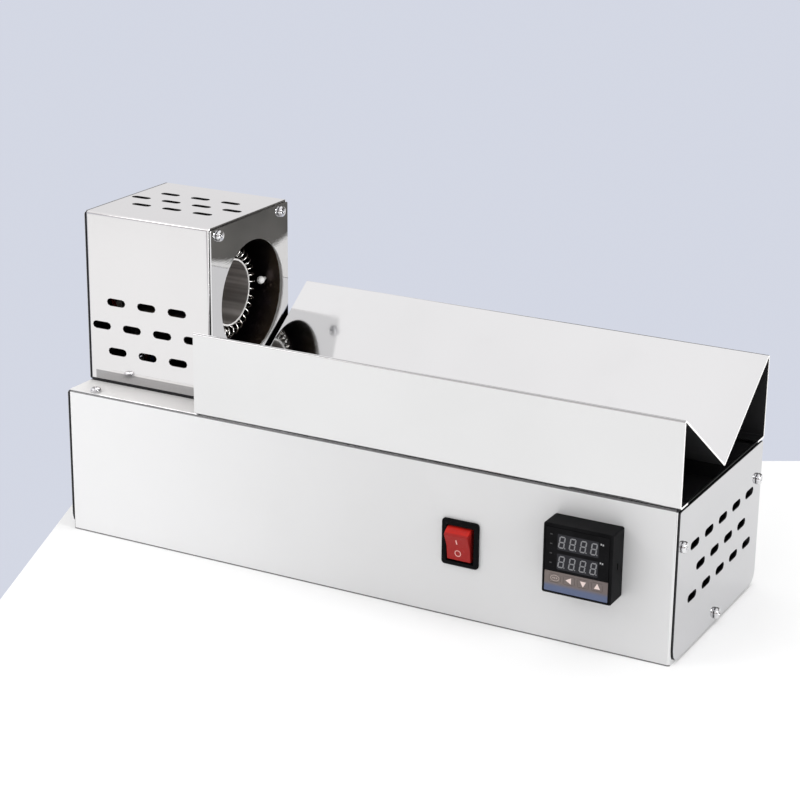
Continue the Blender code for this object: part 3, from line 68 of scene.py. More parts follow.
# %% Camera
CAMERA_PLACE = Vector((0.6680, -1.2559, 0.6039))
CAMERA_YAW, CAMERA_PITCH, CAMERA_LEAN = (math.radians(a) for a in (28.183, 18.915, 0.67))
FOCAL_PIXELS, IMAGE_PIXELS, SENSOR_WIDTH = 2155.1, 800, 36.0


def camera_axes(yaw, pitch, lean):
    """Right, up and forward directions of a camera with these angles."""
    forward = Vector((-math.sin(yaw) * math.cos(pitch), math.cos(yaw) * math.cos(pitch), -math.sin(pitch)))
    right = Vector((math.cos(yaw), math.sin(yaw), 0.0))
    up = right.cross(forward)
    leant_right = math.cos(lean) * right + math.sin(lean) * up
    leant_up = math.cos(lean) * up - math.sin(lean) * right
    return leant_right, leant_up, forward


right, up, forward = camera_axes(CAMERA_YAW, CAMERA_PITCH, CAMERA_LEAN)
camera_data = bpy.data.cameras.new("camera")
camera_data.sensor_width = SENSOR_WIDTH
camera_data.lens = FOCAL_PIXELS / IMAGE_PIXELS * SENSOR_WIDTH
camera = bpy.data.objects.new("camera", camera_data)
turned = Matrix((right, up, -forward)).transposed().to_4x4()
camera.matrix_world = Matrix.Translation(CAMERA_PLACE) @ turned
scene.collection.objects.link(camera)
scene.camera = camera
print(f"camera with a lens of {camera_data.lens:.1f} mm")

# %% [markdown]
# ## Node maths written as Python
# A finish is a small program on the place of a point. Wiring Math nodes by
# hand hides that, so a socket is wrapped in a class with Python's operators:
# an expression such as `0.1 + 0.05 * cloud` adds the nodes it needs. The
# materials, the Geometry Nodes trees and the world are all written this way.


# %% A socket with operators
class Wire:
    """An output socket of a node; an expression on wires adds its Math nodes."""

    def __init__(self, nodes, socket):
        self.nodes = nodes
        self.socket = socket

    def math(self, operation, *others):
        """One Math node on this wire, and on other wires or numbers."""
        inputs = dict(enumerate((self, *others)))
        return self.nodes.node("ShaderNodeMath", {"operation": operation}, inputs)

    __add__ = __radd__ = partialmethod(math, "ADD")
    __sub__ = partialmethod(math, "SUBTRACT")
    __mul__ = __rmul__ = partialmethod(math, "MULTIPLY")
    __truediv__ = partialmethod(math, "DIVIDE")
    __pow__ = partialmethod(math, "POWER")
    __abs__ = partialmethod(math, "ABSOLUTE")
    above = partialmethod(math, "GREATER_THAN")
    below = partialmethod(math, "LESS_THAN")
    most = partialmethod(math, "MAXIMUM")

    def __rsub__(self, other):
        return self.nodes.node("ShaderNodeMath", {"operation": "SUBTRACT"}, {0: other, 1: self})

    def ramp(self, start, end, low=0.0, high=1.0):
        """Smooth step from low at start to high at end."""
        settings = {"interpolation_type": "SMOOTHSTEP"}
        return self.nodes.node("ShaderNodeMapRange", settings, {0: self, 1: start, 2: end, 3: low, 4: high})


class Nodes:
    """A node tree in the making."""

    def __init__(self, tree):
        self.tree = tree

    def connect(self, socket, value):
        """Link a wire to a socket, or set the socket to a constant."""
        if isinstance(value, Wire):
            self.tree.links.new(value.socket, socket)
        elif isinstance(value, tuple) and len(value) == 3 and socket.type == "RGBA":
            socket.default_value = (*value, 1.0)
        else:
            socket.default_value = value

    def node(self, kind, settings=None, inputs=None, output=0):
        """Add one node: its settings first, then the values or wires of its sockets."""
        node = self.tree.nodes.new(kind)
        for name, value in (settings or {}).items():
            setattr(node, name, value)
        for key, value in (inputs or {}).items():
            self.connect(node.inputs[key], value)
        return Wire(self, node.outputs[output])

    def split(self, vector):
        """The x, y and z of a vector."""
        node = self.tree.nodes.new("ShaderNodeSeparateXYZ")
        self.connect(node.inputs[0], vector)
        return [Wire(self, socket) for socket in node.outputs]

    def mix(self, factor, a, b):
        """One colour or the other, by a factor from 0 to 1."""
        settings = {"data_type": "RGBA", "clamp_factor": True}
        return self.node("ShaderNodeMix", settings, {0: factor, 6: a, 7: b}, output=2)


class Finish(Nodes):
    """A material in the making, with its Principled shader."""

    def __init__(self, name, **constants):
        self.material = bpy.data.materials.new(name)
        self.material.use_nodes = True
        super().__init__(self.material.node_tree)
        self.shader = self.tree.nodes["Principled BSDF"]
        for socket, value in constants.items():
            self.set(socket.replace("_", " "), value)

    def set(self, name, value):
        """Set or link one input of the shader."""
        self.connect(self.shader.inputs[name], value)

    def place(self, scale=(1.0, 1.0, 1.0)):
        """Object coordinates, stretched on each axis."""
        point = self.node("ShaderNodeTexCoord", output="Object")
        return self.node("ShaderNodeMapping", None, {"Vector": point, "Scale": scale})

    def axes(self):
        """The x, y and z of the point, in metres."""
        return self.split(self.node("ShaderNodeTexCoord", output="Object"))

    def noise(self, scale, detail=2.0, roughness=0.5, stretch=(1.0, 1.0, 1.0)):
        """Soft noise whose grains are about 1/scale metres."""
        inputs = {"Vector": self.place(stretch), "Scale": scale, "Detail": detail, "Roughness": roughness}
        return self.node("ShaderNodeTexNoise", None, inputs)

    def bump(self, height, distance, strength=1.0):
        """Raise the surface by a height from 0 to 1 times the distance."""
        inputs = {"Height": height, "Distance": distance, "Strength": strength}
        self.set("Normal", self.node("ShaderNodeBump", None, inputs))


def scaled(colour, factor):
    """A colour made lighter or darker."""
    return tuple(factor * c for c in colour)


print("node helpers ready")

# %% [markdown]
# ## Measured places
# Most places that a finish needs are read from the CAD nodes' boxes, so a
# pattern follows the model if the model changes; a few sizes are given as numbers.

# %% Places and sizes from the CAD nodes
shell_low, shell_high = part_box("base_shell")
cover_low, cover_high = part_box("heater_cover")
trough_low, trough_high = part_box("bottle_trough")
plate_low, plate_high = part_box("mouth_plate")
tube_low, tube_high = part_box("chamber_tube")
sleeve_low, sleeve_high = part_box("inner_sleeve")
coil_low, coil_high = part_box("heating_coil")
case_low, case_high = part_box("controller_case")
overlay_low, overlay_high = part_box("key_overlay")
rocker_low, rocker_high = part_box("switch_rocker")
SHEET = plate_high.x - plate_low.x
HALF_SHEET = SHEET / 2
AXIS_Y = (tube_low.y + tube_high.y) / 2
AXIS_Z = (tube_low.z + tube_high.z) / 2
MOUTH_RADIUS = 41.5 * MM
WIRE_RADIUS, COIL_RADIUS, COIL_TURNS = 0.55 * MM, 4.8 * MM, 32
WIRE_X = coil_high.x - (WIRE_RADIUS + COIL_RADIUS)
WINDOW_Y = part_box("display_window")[0].y
print(f"sheet {SHEET / MM:.2f} mm, chamber axis at y {AXIS_Y / MM:.1f}, z {AXIS_Z / MM:.1f} mm")

# %% [markdown]
# ## Small solids
# The recess of a screw, the digits, the printed marks and the rocker are all
# solids between loops of points, so the functions that close them and turn
# them to objects come first.


# %% Mesh helpers
def linked(name, data):
    """A new object in the scene, with this mesh or light."""
    obj = bpy.data.objects.new(name, data)
    scene.collection.objects.link(obj)
    return obj


def mesh_object(bm, name, material=None):
    """End a bmesh as an object whose faces look outwards."""
    bmesh.ops.recalc_face_normals(bm, faces=bm.faces)
    mesh = bpy.data.meshes.new(name)
    bm.to_mesh(mesh)
    bm.free()
    if material:
        mesh.materials.append(material)
    return linked(name, mesh)


def angles_round(count):
    """The angles of that many even steps of a full turn."""
    return [math.tau * i / count for i in range(count)]


def pairs_round(count):
    """Each index of a closed loop, with the next one."""
    return [(i, (i + 1) % count) for i in range(count)]


def add_prism(bm, near, far):
    """Closed solid between two loops of points."""
    near, far = ([bm.verts.new(point) for point in loop] for loop in (near, far))
    bm.faces.new(near)
    bm.faces.new(far[::-1])
    for i, j in pairs_round(len(near)):
        bm.faces.new((near[i], far[i], far[j], near[j]))


def add_ring(bm, loops):
    """Closed ring between four loops: outer and inner on one side, then on the other."""
    loops = [[bm.verts.new(point) for point in loop] for loop in loops]
    for i, j in pairs_round(len(loops[0])):
        for a, b in ((0, 1), (1, 3), (3, 2), (2, 0)):
            bm.faces.new((loops[a][i], loops[a][j], loops[b][j], loops[b][i]))


def applied(obj):
    """Carry out the object's modifiers and leave a plain mesh."""
    bpy.context.view_layer.update()
    evaluated = obj.evaluated_get(bpy.context.evaluated_depsgraph_get())
    mesh = bpy.data.meshes.new_from_object(evaluated)
    obj.modifiers.clear()
    obj.data = mesh


def soften(obj, width, segments):
    """Bevel the object's hard edges."""
    bevel = obj.modifiers.new("soft_edges", "BEVEL")
    bevel.width, bevel.segments = width, segments
    bevel.limit_method, bevel.angle_limit = "ANGLE", math.radians(40)
    applied(obj)


print("mesh helpers ready")

# %% [markdown]
# ## Polished stainless sheet
# The sheets are polished nearly to a mirror. What tells them from a perfect
# mirror is a slow waviness from rolling, the finest polishing lines, and a
# few cloudy smudges in the gloss. All three are noise: very large for the
# waviness, stretched for the lines, and medium for the smudges. The rest is
# masks, made from a sheet's own box, and most of them paint light and shade:
# the inside is painted dark and made rougher, as painted shade; folds and cut
# edges get a painted dark line, standing in for shadow lines and dark
# reflections; some faces are satin; some edges are painted pale, as a painted
# highlight; and the base is painted paler towards its left end, as painted light.


# %% Steel finish
# The second colour is the near-black of the painted dark lines (painted shade), the third the near-white of
# edges painted pale (painted highlight).
STEEL, PAINTED_DARK_STEEL, PAINTED_PALE_STEEL = (0.72, 0.72, 0.725), (0.025, 0.025, 0.027), (0.92, 0.91, 0.90)


def inside_mask(finish, low, high):
    """1 for points inside a box, else 0; a side of None is open."""
    mask = 1.0
    for axis, bottom, top in zip(finish.axes(), low, high):
        if bottom is not None:
            mask = axis.above(bottom) * mask
        if top is not None:
            mask = axis.below(top) * mask
    return mask


def polished_sheet(name, shaded_inside, stretch=(1.0, 60.0, 60.0), tint=STEEL, shade=0.045, lines=(), satin=None,
                   painted_pale=None, painted_light_part=None, wave=0.025, haze=1.0):
    """Polished stainless steel in a tint, with masks for painted light and shade.

    The masks give its inside, painted as dark as the shade (painted shade),
    its matt faces, its edges painted pale (painted highlight; on the base's
    strip in front of the heater a painted reflection) and a part painted
    paler (painted light). Each of the lines is a box (low, high) and a
    strength: a painted dark line along a fold or a cut edge, standing in for
    a shadow line or a dark reflection. wave scales the waviness, and haze the
    dullness.
    """
    finish = Finish(name, Metallic=1.0)
    strokes = finish.noise(30.0, 3.0, 0.6, stretch)
    clouds = finish.noise(7.0, 2.0)
    smudges = finish.noise(26.0, 4.0, 0.65)
    gloss = haze * 0.045 + haze * 0.05 * strokes + haze * 0.05 * smudges.ramp(0.45, 0.75)
    colour = finish.mix(clouds.ramp(0.3, 0.7), tint, scaled(tint, 0.965))
    colour = finish.mix(smudges.ramp(0.55, 0.85) * 0.4, colour, scaled(tint, 0.94))
    # Painted light: a part painted paler.
    if painted_light_part:
        colour = finish.mix(painted_light_part(finish), colour, scaled(tint, 1.20))
    metal = 1.0
    if satin:
        matt_part = satin(finish)
        gloss = gloss + matt_part * 0.50
        metal = 1.0 - 0.85 * matt_part
    # Painted shade: dark lines along folds and edges, standing in for shadow lines and dark reflections.
    for low, high, strength in lines:
        dark_line = inside_mask(finish, low, high) * strength
        colour = finish.mix(dark_line, colour, PAINTED_DARK_STEEL)
        gloss = gloss + dark_line * 0.25
    # Painted shade: the inside is painted dark and made rougher.
    mask = shaded_inside(finish)
    colour = finish.mix(mask, colour, (shade, shade, 1.05 * shade))
    gloss = gloss + mask * 0.4
    # Painted highlight: edges painted near-white and less metallic.
    if painted_pale:
        pale_part = painted_pale(finish)
        colour = finish.mix(pale_part, colour, PAINTED_PALE_STEEL)
        gloss = gloss.most(pale_part * 0.5)
        metal = metal - pale_part * 0.7
    finish.set("Metallic", metal)
    finish.set("Base Color", colour)
    finish.set("Roughness", gloss)
    finish.bump(clouds * 0.8 + strokes * 0.04, 0.0009, wave)
    return finish.material


# FOLD is the reach of a rounded fold, SKIN the depth that counts as on a
# face, and EDGE the width of a painted dark line. The band is a painted
# reflection of the base's strip, and runs along the heater's foot.
FOLD, SKIN, EDGE, THIN_EDGE = 2.2 * MM, 0.15 * MM, 1.3 * MM, 0.9 * MM
REFLECTION_BAND_START, REFLECTION_BAND_HEIGHT = 5.0 * MM, 8.4 * MM
ANY = (None, None, None)


def box_inside(low, high):
    """Mask maker for the painted shade inside a box with an open bottom and rounded folds."""
    def mask(finish):
        squares = 0.0
        for axis, bottom, top in zip(finish.axes(), low - Vector((0, 0, 1)), high):
            depth = (top - bottom) / 2 - abs(axis - (top + bottom) / 2)
            short = (FOLD - depth).most(0.0)
            squares = short * short + squares
        return (squares ** 0.5).below(FOLD - SKIN)
    return mask


def upright_faces(low, high):
    """Mask maker for the front and back faces of a box."""
    between = (None, low.y + 3 * SKIN, None), (None, high.y - 3 * SKIN, None)
    return lambda finish: 1.0 - inside_mask(finish, *between)


def foot_strip(finish):
    """1 on the strip of the base in front of the heater, painted pale as a painted reflection of the heater's
    front.
    """
    low, high = (None, shell_low.y + FOLD, shell_high.z - SKIN), (trough_low.x, cover_low.y, None)
    return inside_mask(finish, low, high)


# Painted dark lines of the base, standing in for shadow lines and dark
# reflections: its left edge, the fold at the right panel, the fold along the
# front, and the lower edge.
shell_dark_lines = (
    (ANY, (shell_low.x + EDGE, shell_low.y + EDGE, None), 0.9),
    ((shell_high.x - EDGE, None, shell_high.z - 1.6 * MM), ANY, 0.92),
    ((None, None, shell_high.z - EDGE), (None, shell_low.y + EDGE, None), 0.8),
    (ANY, (None, shell_low.y + EDGE, shell_low.z + THIN_EDGE), 0.8),
)
# Painted dark lines of the heater box, standing in for shadow lines and dark
# reflections: the front's left edge, the painted shadow line and the painted
# reflection band along its foot, its top fold, and the top's left and back edges.
cover_dark_lines = (
    (ANY, (cover_low.x + EDGE, cover_low.y + EDGE, None), 0.9),
    (ANY, (None, cover_low.y + EDGE, cover_low.z + 1.5 * EDGE), 0.98),
    ((cover_low.x + REFLECTION_BAND_START, None, None), (None, cover_low.y + EDGE, cover_low.z + REFLECTION_BAND_HEIGHT), 0.52),
    ((None, None, cover_high.z - 0.6 * MM), (None, cover_low.y + 0.6 * MM, None), 0.3),
    ((None, None, cover_high.z - EDGE), (cover_low.x + EDGE, None, None), 0.9),
    ((None, cover_high.y - EDGE, cover_high.z - EDGE), ANY, 0.6),
)
# The insides of the base and the heater box are painted dark, as painted shade; the base is painted paler
# towards its left end, as painted light.
shell_steel = polished_sheet(
    "steel_base", box_inside(shell_low, shell_high), lines=shell_dark_lines,
    satin=upright_faces(shell_low, shell_high), painted_pale=foot_strip,
    painted_light_part=lambda finish: finish.axes()[0].ramp(0.05, shell_low.x))
cover_steel = polished_sheet(
    "steel_cover", box_inside(cover_low, cover_high), tint=(0.745, 0.735, 0.737), lines=cover_dark_lines)
print("made", shell_steel.name, cover_steel.name)

# %% [markdown]
# The trough is one sheet bent to an M. Its outside and the V on its top are
# polished; its underside, the two tunnels, is in deep shade. The underside is
# everything below the V's own sloping middle line.


# %% Steel of the trough and of the plates
VALLEY_HEIGHT = 6.0 * MM
# The end panels' tint is darker than the other sheets', as painted shade.
ALONG_Y, PANEL_SHADED_TINT = (60.0, 1.0, 60.0), (0.60, 0.60, 0.612)


def under_trough(finish):
    """1 on the underside of the V and on the inner faces of its side walls."""
    x, y, z = finish.axes()
    reach = trough_high.y - HALF_SHEET
    valley = trough_low.z + VALLEY_HEIGHT - HALF_SHEET
    slope = (trough_high.z - HALF_SHEET - valley) / reach
    below = (z - abs(y) * slope).below(valley + SKIN)
    return below * abs(y).below(reach) * z.above(trough_low.z + 0.9 * SHEET)


def left_of(limit):
    """Mask maker for points with an x below the limit."""
    return lambda finish: finish.axes()[0].below(limit)


def right_of(limit):
    """Mask maker for points with an x above the limit."""
    return lambda finish: finish.axes()[0].above(limit)


def mouth_edge(finish):
    """1 on the cut wall of the mouth, which is painted pale as a painted highlight."""
    x, y, z = finish.axes()
    away = ((y - AXIS_Y) * (y - AXIS_Y) + (z - AXIS_Z) * (z - AXIS_Z)) ** 0.5
    return away.below(MOUTH_RADIUS + SKIN) * x.above(plate_low.x + SKIN) * x.below(plate_high.x - SKIN)


# The trough's front fold gets a painted dark line, standing in for a shadow line; its underside is painted
# dark, as painted shade, and its right cut end is painted pale, as a painted highlight.
trough_dark_lines = (((None, None, trough_high.z - 0.8 * MM), (None, trough_low.y + 0.8 * MM, None), 0.5),)
trough_steel = polished_sheet(
    "steel_trough", under_trough, (1.0, 45.0, 45.0), (0.748, 0.748, 0.75), 0.065, trough_dark_lines,
    painted_pale=right_of(trough_high.x - SKIN))
# The inner faces of the end panels, the rear plate and the mouth plate are painted dark, as painted shade; the
# mouth's cut wall is painted pale, as a painted highlight.
right_inside = left_of(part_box("right_end_panel")[1].x - SKIN)
left_inside = right_of(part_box("left_end_panel")[0].x + SKIN)
rear_inside = right_of(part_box("heater_rear_plate")[0].x + SKIN)
right_steel = polished_sheet("steel_right_panel", right_inside, ALONG_Y, PANEL_SHADED_TINT)
left_steel = polished_sheet("steel_left_panel", left_inside, ALONG_Y, PANEL_SHADED_TINT)
rear_steel = polished_sheet("steel_rear_plate", rear_inside, ALONG_Y)
mouth_steel = polished_sheet(
    "steel_mouth_plate", left_of(plate_low.x + SKIN), ALONG_Y, painted_pale=mouth_edge, wave=0.12, haze=0.2)
# The top of the tray, inside the base, is painted dark, as painted shade.
tray_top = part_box("base_tray")[0].z + HALF_SHEET
tray_steel = polished_sheet("steel_tray", lambda finish: finish.axes()[2].above(tray_top))
print("made", trough_steel.name, right_steel.name, mouth_steel.name)

# %% [markdown]
# ## Heated steel
# Round the glowing wire, stainless takes on its temper colours: straw where
# it got warm, brown and blue where it got hot. The tube and the disc behind
# it are dark all over. A band just inside the tube's front and the rim of
# the sleeve that the neck goes into are painted pale, as painted highlights.


# %% Heat-tinted finishes
def heated_steel(name, cool, warm, hot, hot_x, reach, gloss):
    """Steel that turns from cool to hot colours towards the wire's place at hot_x."""
    finish = Finish(name, Metallic=1.0)
    x = finish.axes()[0]
    stain = finish.noise(60.0, 4.0, 0.6)
    near = 1.0 - abs(x - hot_x) / reach
    heat = near + (stain - 0.5) * 0.5
    colour = finish.mix(heat.ramp(0.05, 0.55), cool, warm)
    colour = finish.mix(heat.ramp(0.55, 1.0), colour, hot)
    # Painted highlight: a pale, less metallic band just inside the tube's front end.
    highlight_band = x.above(tube_high.x - 3.2 * MM) * x.below(tube_high.x - 1.4 * MM)
    finish.set("Base Color", finish.mix(highlight_band, colour, (0.80, 0.79, 0.77)))
    finish.set("Metallic", 1.0 - 0.6 * highlight_band)
    finish.set("Roughness", gloss + stain * 0.16)
    finish.bump(stain, 0.0004, 0.15)
    return finish.material


tube_steel = heated_steel(
    "steel_chamber", (0.10, 0.095, 0.09), (0.10, 0.075, 0.05), (0.06, 0.05, 0.06), WIRE_X, 0.05, 0.22)


def sleeve_finish(name):
    """Drawn sleeve: streaks along its length, matt inside, with its rim painted pale as a painted highlight."""
    finish = Finish(name)
    x = finish.axes()[0]
    rim = x.above(sleeve_high.x - 0.5 * MM)
    streaks = finish.noise(30.0, 2.0, 0.6, (0.2, 2.0, 4.0))
    stain = finish.noise(60.0, 4.0, 0.6)
    colour = finish.mix(streaks.ramp(0.35, 0.65), (0.25, 0.23, 0.22), (0.66, 0.62, 0.60))
    colour = finish.mix(stain.ramp(0.5, 0.8) * 0.4, colour, (0.30, 0.24, 0.19))
    finish.set("Base Color", finish.mix(rim, colour, (0.95, 0.94, 0.92)))
    finish.set("Metallic", 0.45 - 0.25 * rim)
    finish.set("Roughness", 0.30 + 0.15 * stain)
    return finish.material


sleeve_steel = sleeve_finish("steel_sleeve")
probe_steel = heated_steel(
    "steel_probe", (0.66, 0.65, 0.63), (0.58, 0.50, 0.40), (0.42, 0.34, 0.30), WIRE_X, 0.03, 0.22)
print("made", tube_steel.name, sleeve_steel.name, probe_steel.name)

# %% [markdown]
# ## Moulded plastics, ceramic and insulation
# Black mouldings are matt because their tool was eroded by sparks: a fine,
# even grain. Ceramic has tiny specks and a dry surface. The leads have a
# silicone skin, or a braid of glass fibre.


# %% Plastics
def moulded(name, colour, rough=0.42, grain=2600.0, depth=0.00006, **constants):
    """Moulded plastic with an eroded grain and a cloudy sheen."""
    finish = Finish(name, **constants)
    texture = finish.noise(grain, 2.0)
    cloud = finish.noise(70.0, 3.0)
    lighter = tuple(min(1.0, c * 1.25 + 0.004) for c in colour)
    finish.set("Base Color", finish.mix(cloud.ramp(0.35, 0.7) * 0.6, colour, lighter))
    finish.set("Roughness", rough + 0.10 * texture + 0.06 * cloud)
    finish.bump(texture, depth, 0.35)
    return finish.material


black_plastic = moulded("plastic_black", (0.004, 0.004, 0.0045), 0.36, Specular_IOR_Level=0.03)
relay_plastic = moulded("plastic_relay", (0.42, 0.43, 0.44), 0.5)
strip_plastic = moulded("plastic_strip", (0.02, 0.02, 0.022), 0.35)
ceramic = moulded("ceramic_white", (0.95, 0.94, 0.92), 0.5, 1400.0, 0.0001)
# The coil's terminal is white ceramic, painted dark brown-grey as painted shade.
shaded_ceramic = moulded("ceramic_heated", (0.20, 0.19, 0.175), 0.5, 1400.0, 0.0001)
red_silicone = moulded("silicone_red", (0.17, 0.012, 0.010), 0.5, 1800.0)
blue_silicone = moulded("silicone_blue", (0.014, 0.03, 0.15), 0.5, 1800.0)


def braided(name, colour, pitch):
    """Glass fibre sleeve: two crossing waves of yarns."""
    finish = Finish(name)
    settings = {"wave_type": "BANDS", "bands_direction": "DIAGONAL"}
    waves = []
    for mirrored in (1, -1):
        inputs = {"Vector": finish.place((mirrored, 1, 1)), "Scale": 1 / pitch}
        waves.append(finish.node("ShaderNodeTexWave", settings, inputs, 1))
    yarn = waves[0].most(waves[1])
    finish.set("Base Color", finish.mix(yarn, scaled(colour, 0.55), colour))
    finish.set("Roughness", 0.85 - 0.15 * yarn)
    finish.bump(yarn, 0.0002, 0.5)
    return finish.material


white_braid = braided("braid_white", (0.74, 0.73, 0.70), 0.006)
print("made", black_plastic.name, ceramic.name, white_braid.name)

# %% [markdown]
# ## Smooth folds
# The CAD solids are faceted: a fold is three flat strips. A mirror shows
# each strip as a hard line, so each node is dressed with a copy of its own
# mesh. The loose triangles are merged, and shallow edges are shaded smooth
# with custom normals, in which the largest flat face at a corner leads, so
# the big flats stay perfectly flat.


# %% Dress a CAD node with a smooth copy of itself
def merged_copy(node, name):
    """The CAD node's mesh as one connected mesh in a new object."""
    bm = bmesh.new()
    bm.from_mesh(frame["nodes"][node].data)
    bmesh.ops.remove_doubles(bm, verts=bm.verts, dist=0.00001)
    mesh = bpy.data.meshes.new(name)
    bm.to_mesh(mesh)
    bm.free()
    return linked(name, mesh)


def flat_regions(bm):
    """Connected coplanar faces: for each face its region, and each region's normal and area."""
    region_of, regions = {}, []
    for seed in bm.faces:
        if seed in region_of:
            continue
        region_of[seed], stack, area = len(regions), [seed], 0.0
        while stack:
            face = stack.pop()
            area += face.calc_area()
            for edge in face.edges:
                for other in edge.link_faces:
                    if other not in region_of and other.normal.dot(seed.normal) > 0.99999:
                        region_of[other] = len(regions)
                        stack.append(other)
        regions.append((seed.normal.copy(), area))
    return region_of, regions


def smooth_shading(piece, angle_deg):
    """Smooth the edges below the angle; at a corner the largest flat region leads."""
    limit = math.cos(math.radians(angle_deg))
    bm = bmesh.new()
    bm.from_mesh(piece.data)
    region_of, regions = flat_regions(bm)
    normals = []
    for face in bm.faces:
        for corner in face.loops:
            around = {region_of[other] for other in corner.vert.link_faces}
            total = Vector()
            for normal, area in (regions[i] for i in around):
                if normal.dot(face.normal) > limit:
                    total += normal * (area / 1e-6) ** 2
            normals.append(total.normalized() if total.length else face.normal.copy())
    bm.free()
    piece.data.shade_smooth()
    piece.data.normals_split_custom_set(normals)


def dress(node, name, material, slot_name, angle_deg=50.0, body="housing"):
    """Replace a CAD node by its smooth copy in a material."""
    piece = merged_copy(node, name)
    smooth_shading(piece, angle_deg)
    piece.data.materials.clear()
    piece.data.materials.append(material)
    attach(piece, body)
    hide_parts(node)
    return piece


SHEETS = (
    ("base_shell", "base_sheet", shell_steel),
    ("base_tray", "tray_sheet", tray_steel),
    ("left_end_panel", "left_panel_sheet", left_steel),
    ("right_end_panel", "right_panel_sheet", right_steel),
    ("heater_cover", "heater_sheet", cover_steel),
    ("mouth_plate", "mouth_sheet", mouth_steel),
    ("heater_rear_plate", "rear_sheet", rear_steel),
    ("bottle_trough", "trough_sheet", trough_steel),
    ("inner_sleeve", "sleeve_sheet", sleeve_steel),
    ("thermocouple_probe", "probe_body", probe_steel),
)
for node, name, material in SHEETS:
    dress(node, name, material, "polished_steel")
for node, name in (("chamber_tube", "tube_sheet"), ("chamber_back_disc", "disc_sheet")):
    dress(node, name, tube_steel, "dark_steel")
print("dressed", len(SHEETS) + 2, "sheets")

# %% [markdown]
# ## Screws
# Every screw is the same chromed pan head with a cross recess, and no two
# stop at the same turn. So one screw is modelled well, and a Geometry Nodes
# tree sets it on a point for each CAD screw, turned along the point's own
# outward direction and then by a random angle about it.


# %% One screw
HEAD_RADIUS, HEAD_HEIGHT = 4.0 * MM, 2.6 * MM
SHANK_RADIUS, SHANK_LENGTH = 1.9 * MM, 7.5 * MM


def lathe(profile, segments, name):
    """Turn (radius, height) points about the z axis to a closed mesh object."""
    bm = bmesh.new()
    rings = []
    for radius, height in profile:
        around = angles_round(segments) if radius else [0.0]
        points = [(radius * math.cos(a), radius * math.sin(a), height) for a in around]
        rings.append([bm.verts.new(point) for point in points])
    for near, far in zip(rings, rings[1:]):
        for i, j in pairs_round(segments):
            corners = (near[i % len(near)], far[i % len(far)], far[j % len(far)], near[j % len(near)])
            bm.faces.new(list(dict.fromkeys(corners)))
    return mesh_object(bm, name)


def screw_profile():
    """Half outline of a pan head with a domed top and a soft rim, and its shank."""
    points = [(0.0, HEAD_HEIGHT)]
    for step in range(1, 6):
        radius = 0.72 * HEAD_RADIUS * step / 5
        points.append((radius, HEAD_HEIGHT - 0.10 * HEAD_HEIGHT * (step / 5) ** 2))
    rim = 0.28 * HEAD_RADIUS
    for step in range(1, 7):
        angle = math.pi / 2 * step / 6
        height = 0.12 * HEAD_HEIGHT + 0.78 * HEAD_HEIGHT * math.cos(angle)
        points.append((HEAD_RADIUS - rim + rim * math.sin(angle), height))
    shank = [(SHANK_RADIUS, 0.0), (SHANK_RADIUS, -SHANK_LENGTH), (0.0, -SHANK_LENGTH)]
    return points + [(0.985 * HEAD_RADIUS, 0.0)] + shank


def cross_cutter():
    """Tapered cross whose arms get narrower and shorter with depth."""
    loops = []
    for lift, reach, arm in ((0.3 * MM, 2.15 * MM, 0.52 * MM), (-1.5 * MM, 1.1 * MM, 0.36 * MM)):
        corners = [Vector((x, y, HEAD_HEIGHT + lift)) for x, y in ((reach, -arm), (reach, arm), (arm, arm))]
        loops.append([Matrix.Rotation(turn, 3, "Z") @ corner for turn in angles_round(4) for corner in corners])
    bm = bmesh.new()
    add_prism(bm, *loops)
    return mesh_object(bm, "cross_cutter")


one_screw = lathe(screw_profile(), 36, "one_screw")
cutter = cross_cutter()
recess = one_screw.modifiers.new("recess", "BOOLEAN")
recess.operation, recess.solver, recess.object = "DIFFERENCE", "EXACT", cutter
soften(one_screw, 0.08 * MM, 2)
bpy.data.objects.remove(cutter)
one_screw.data.shade_smooth()
one_screw.data.set_sharp_from_angle(angle=math.radians(35))
print("one screw has", len(one_screw.data.polygons), "faces")


# %% Geometry Nodes helpers
class Tree(Nodes):
    """A Geometry Nodes tree in the making, with named inputs."""

    def __init__(self, name, **sizes):
        super().__init__(bpy.data.node_groups.new(name, "GeometryNodeTree"))
        new_socket = self.tree.interface.new_socket
        for in_out in ("INPUT", "OUTPUT"):
            new_socket("Geometry", in_out=in_out, socket_type="NodeSocketGeometry")
        self.sizes = sizes
        self.identifiers = {}
        kinds = {float: "NodeSocketFloat", int: "NodeSocketInt", bpy.types.Object: "NodeSocketObject"}
        for label, value in sizes.items():
            kind = kinds.get(type(value), "NodeSocketMaterial")
            self.identifiers[label] = new_socket(label, in_out="INPUT", socket_type=kind).identifier
        self.inputs = self.tree.nodes.new("NodeGroupInput")

    def get(self, label):
        """One named input."""
        return Wire(self, self.inputs.outputs[label])

    def run(self, name, geometry, points=(), **vectors):
        """End the tree, carry it out on loose points and leave a plain mesh.

        Each of the vectors is an attribute of the points.
        """
        real = self.node("GeometryNodeRealizeInstances", None, {0: geometry})
        inputs = {"Geometry": real, "Material": self.get("Material")}
        painted = self.node("GeometryNodeSetMaterial", None, inputs)
        self.connect(self.tree.nodes.new("NodeGroupOutput").inputs[0], painted)
        mesh = bpy.data.meshes.new(name)
        mesh.from_pydata([tuple(point) for point in points], [], [])
        for label, values in vectors.items():
            attribute = mesh.attributes.new(label, "FLOAT_VECTOR", "POINT")
            attribute.data.foreach_set("vector", [c for value in values for c in value])
        piece = linked(name, mesh)
        modifier = piece.modifiers.new(self.tree.name, "NODES")
        modifier.node_group = self.tree
        for label, value in self.sizes.items():
            modifier[self.identifiers[label]] = value
        applied(piece)
        return piece


print("tree helpers ready")

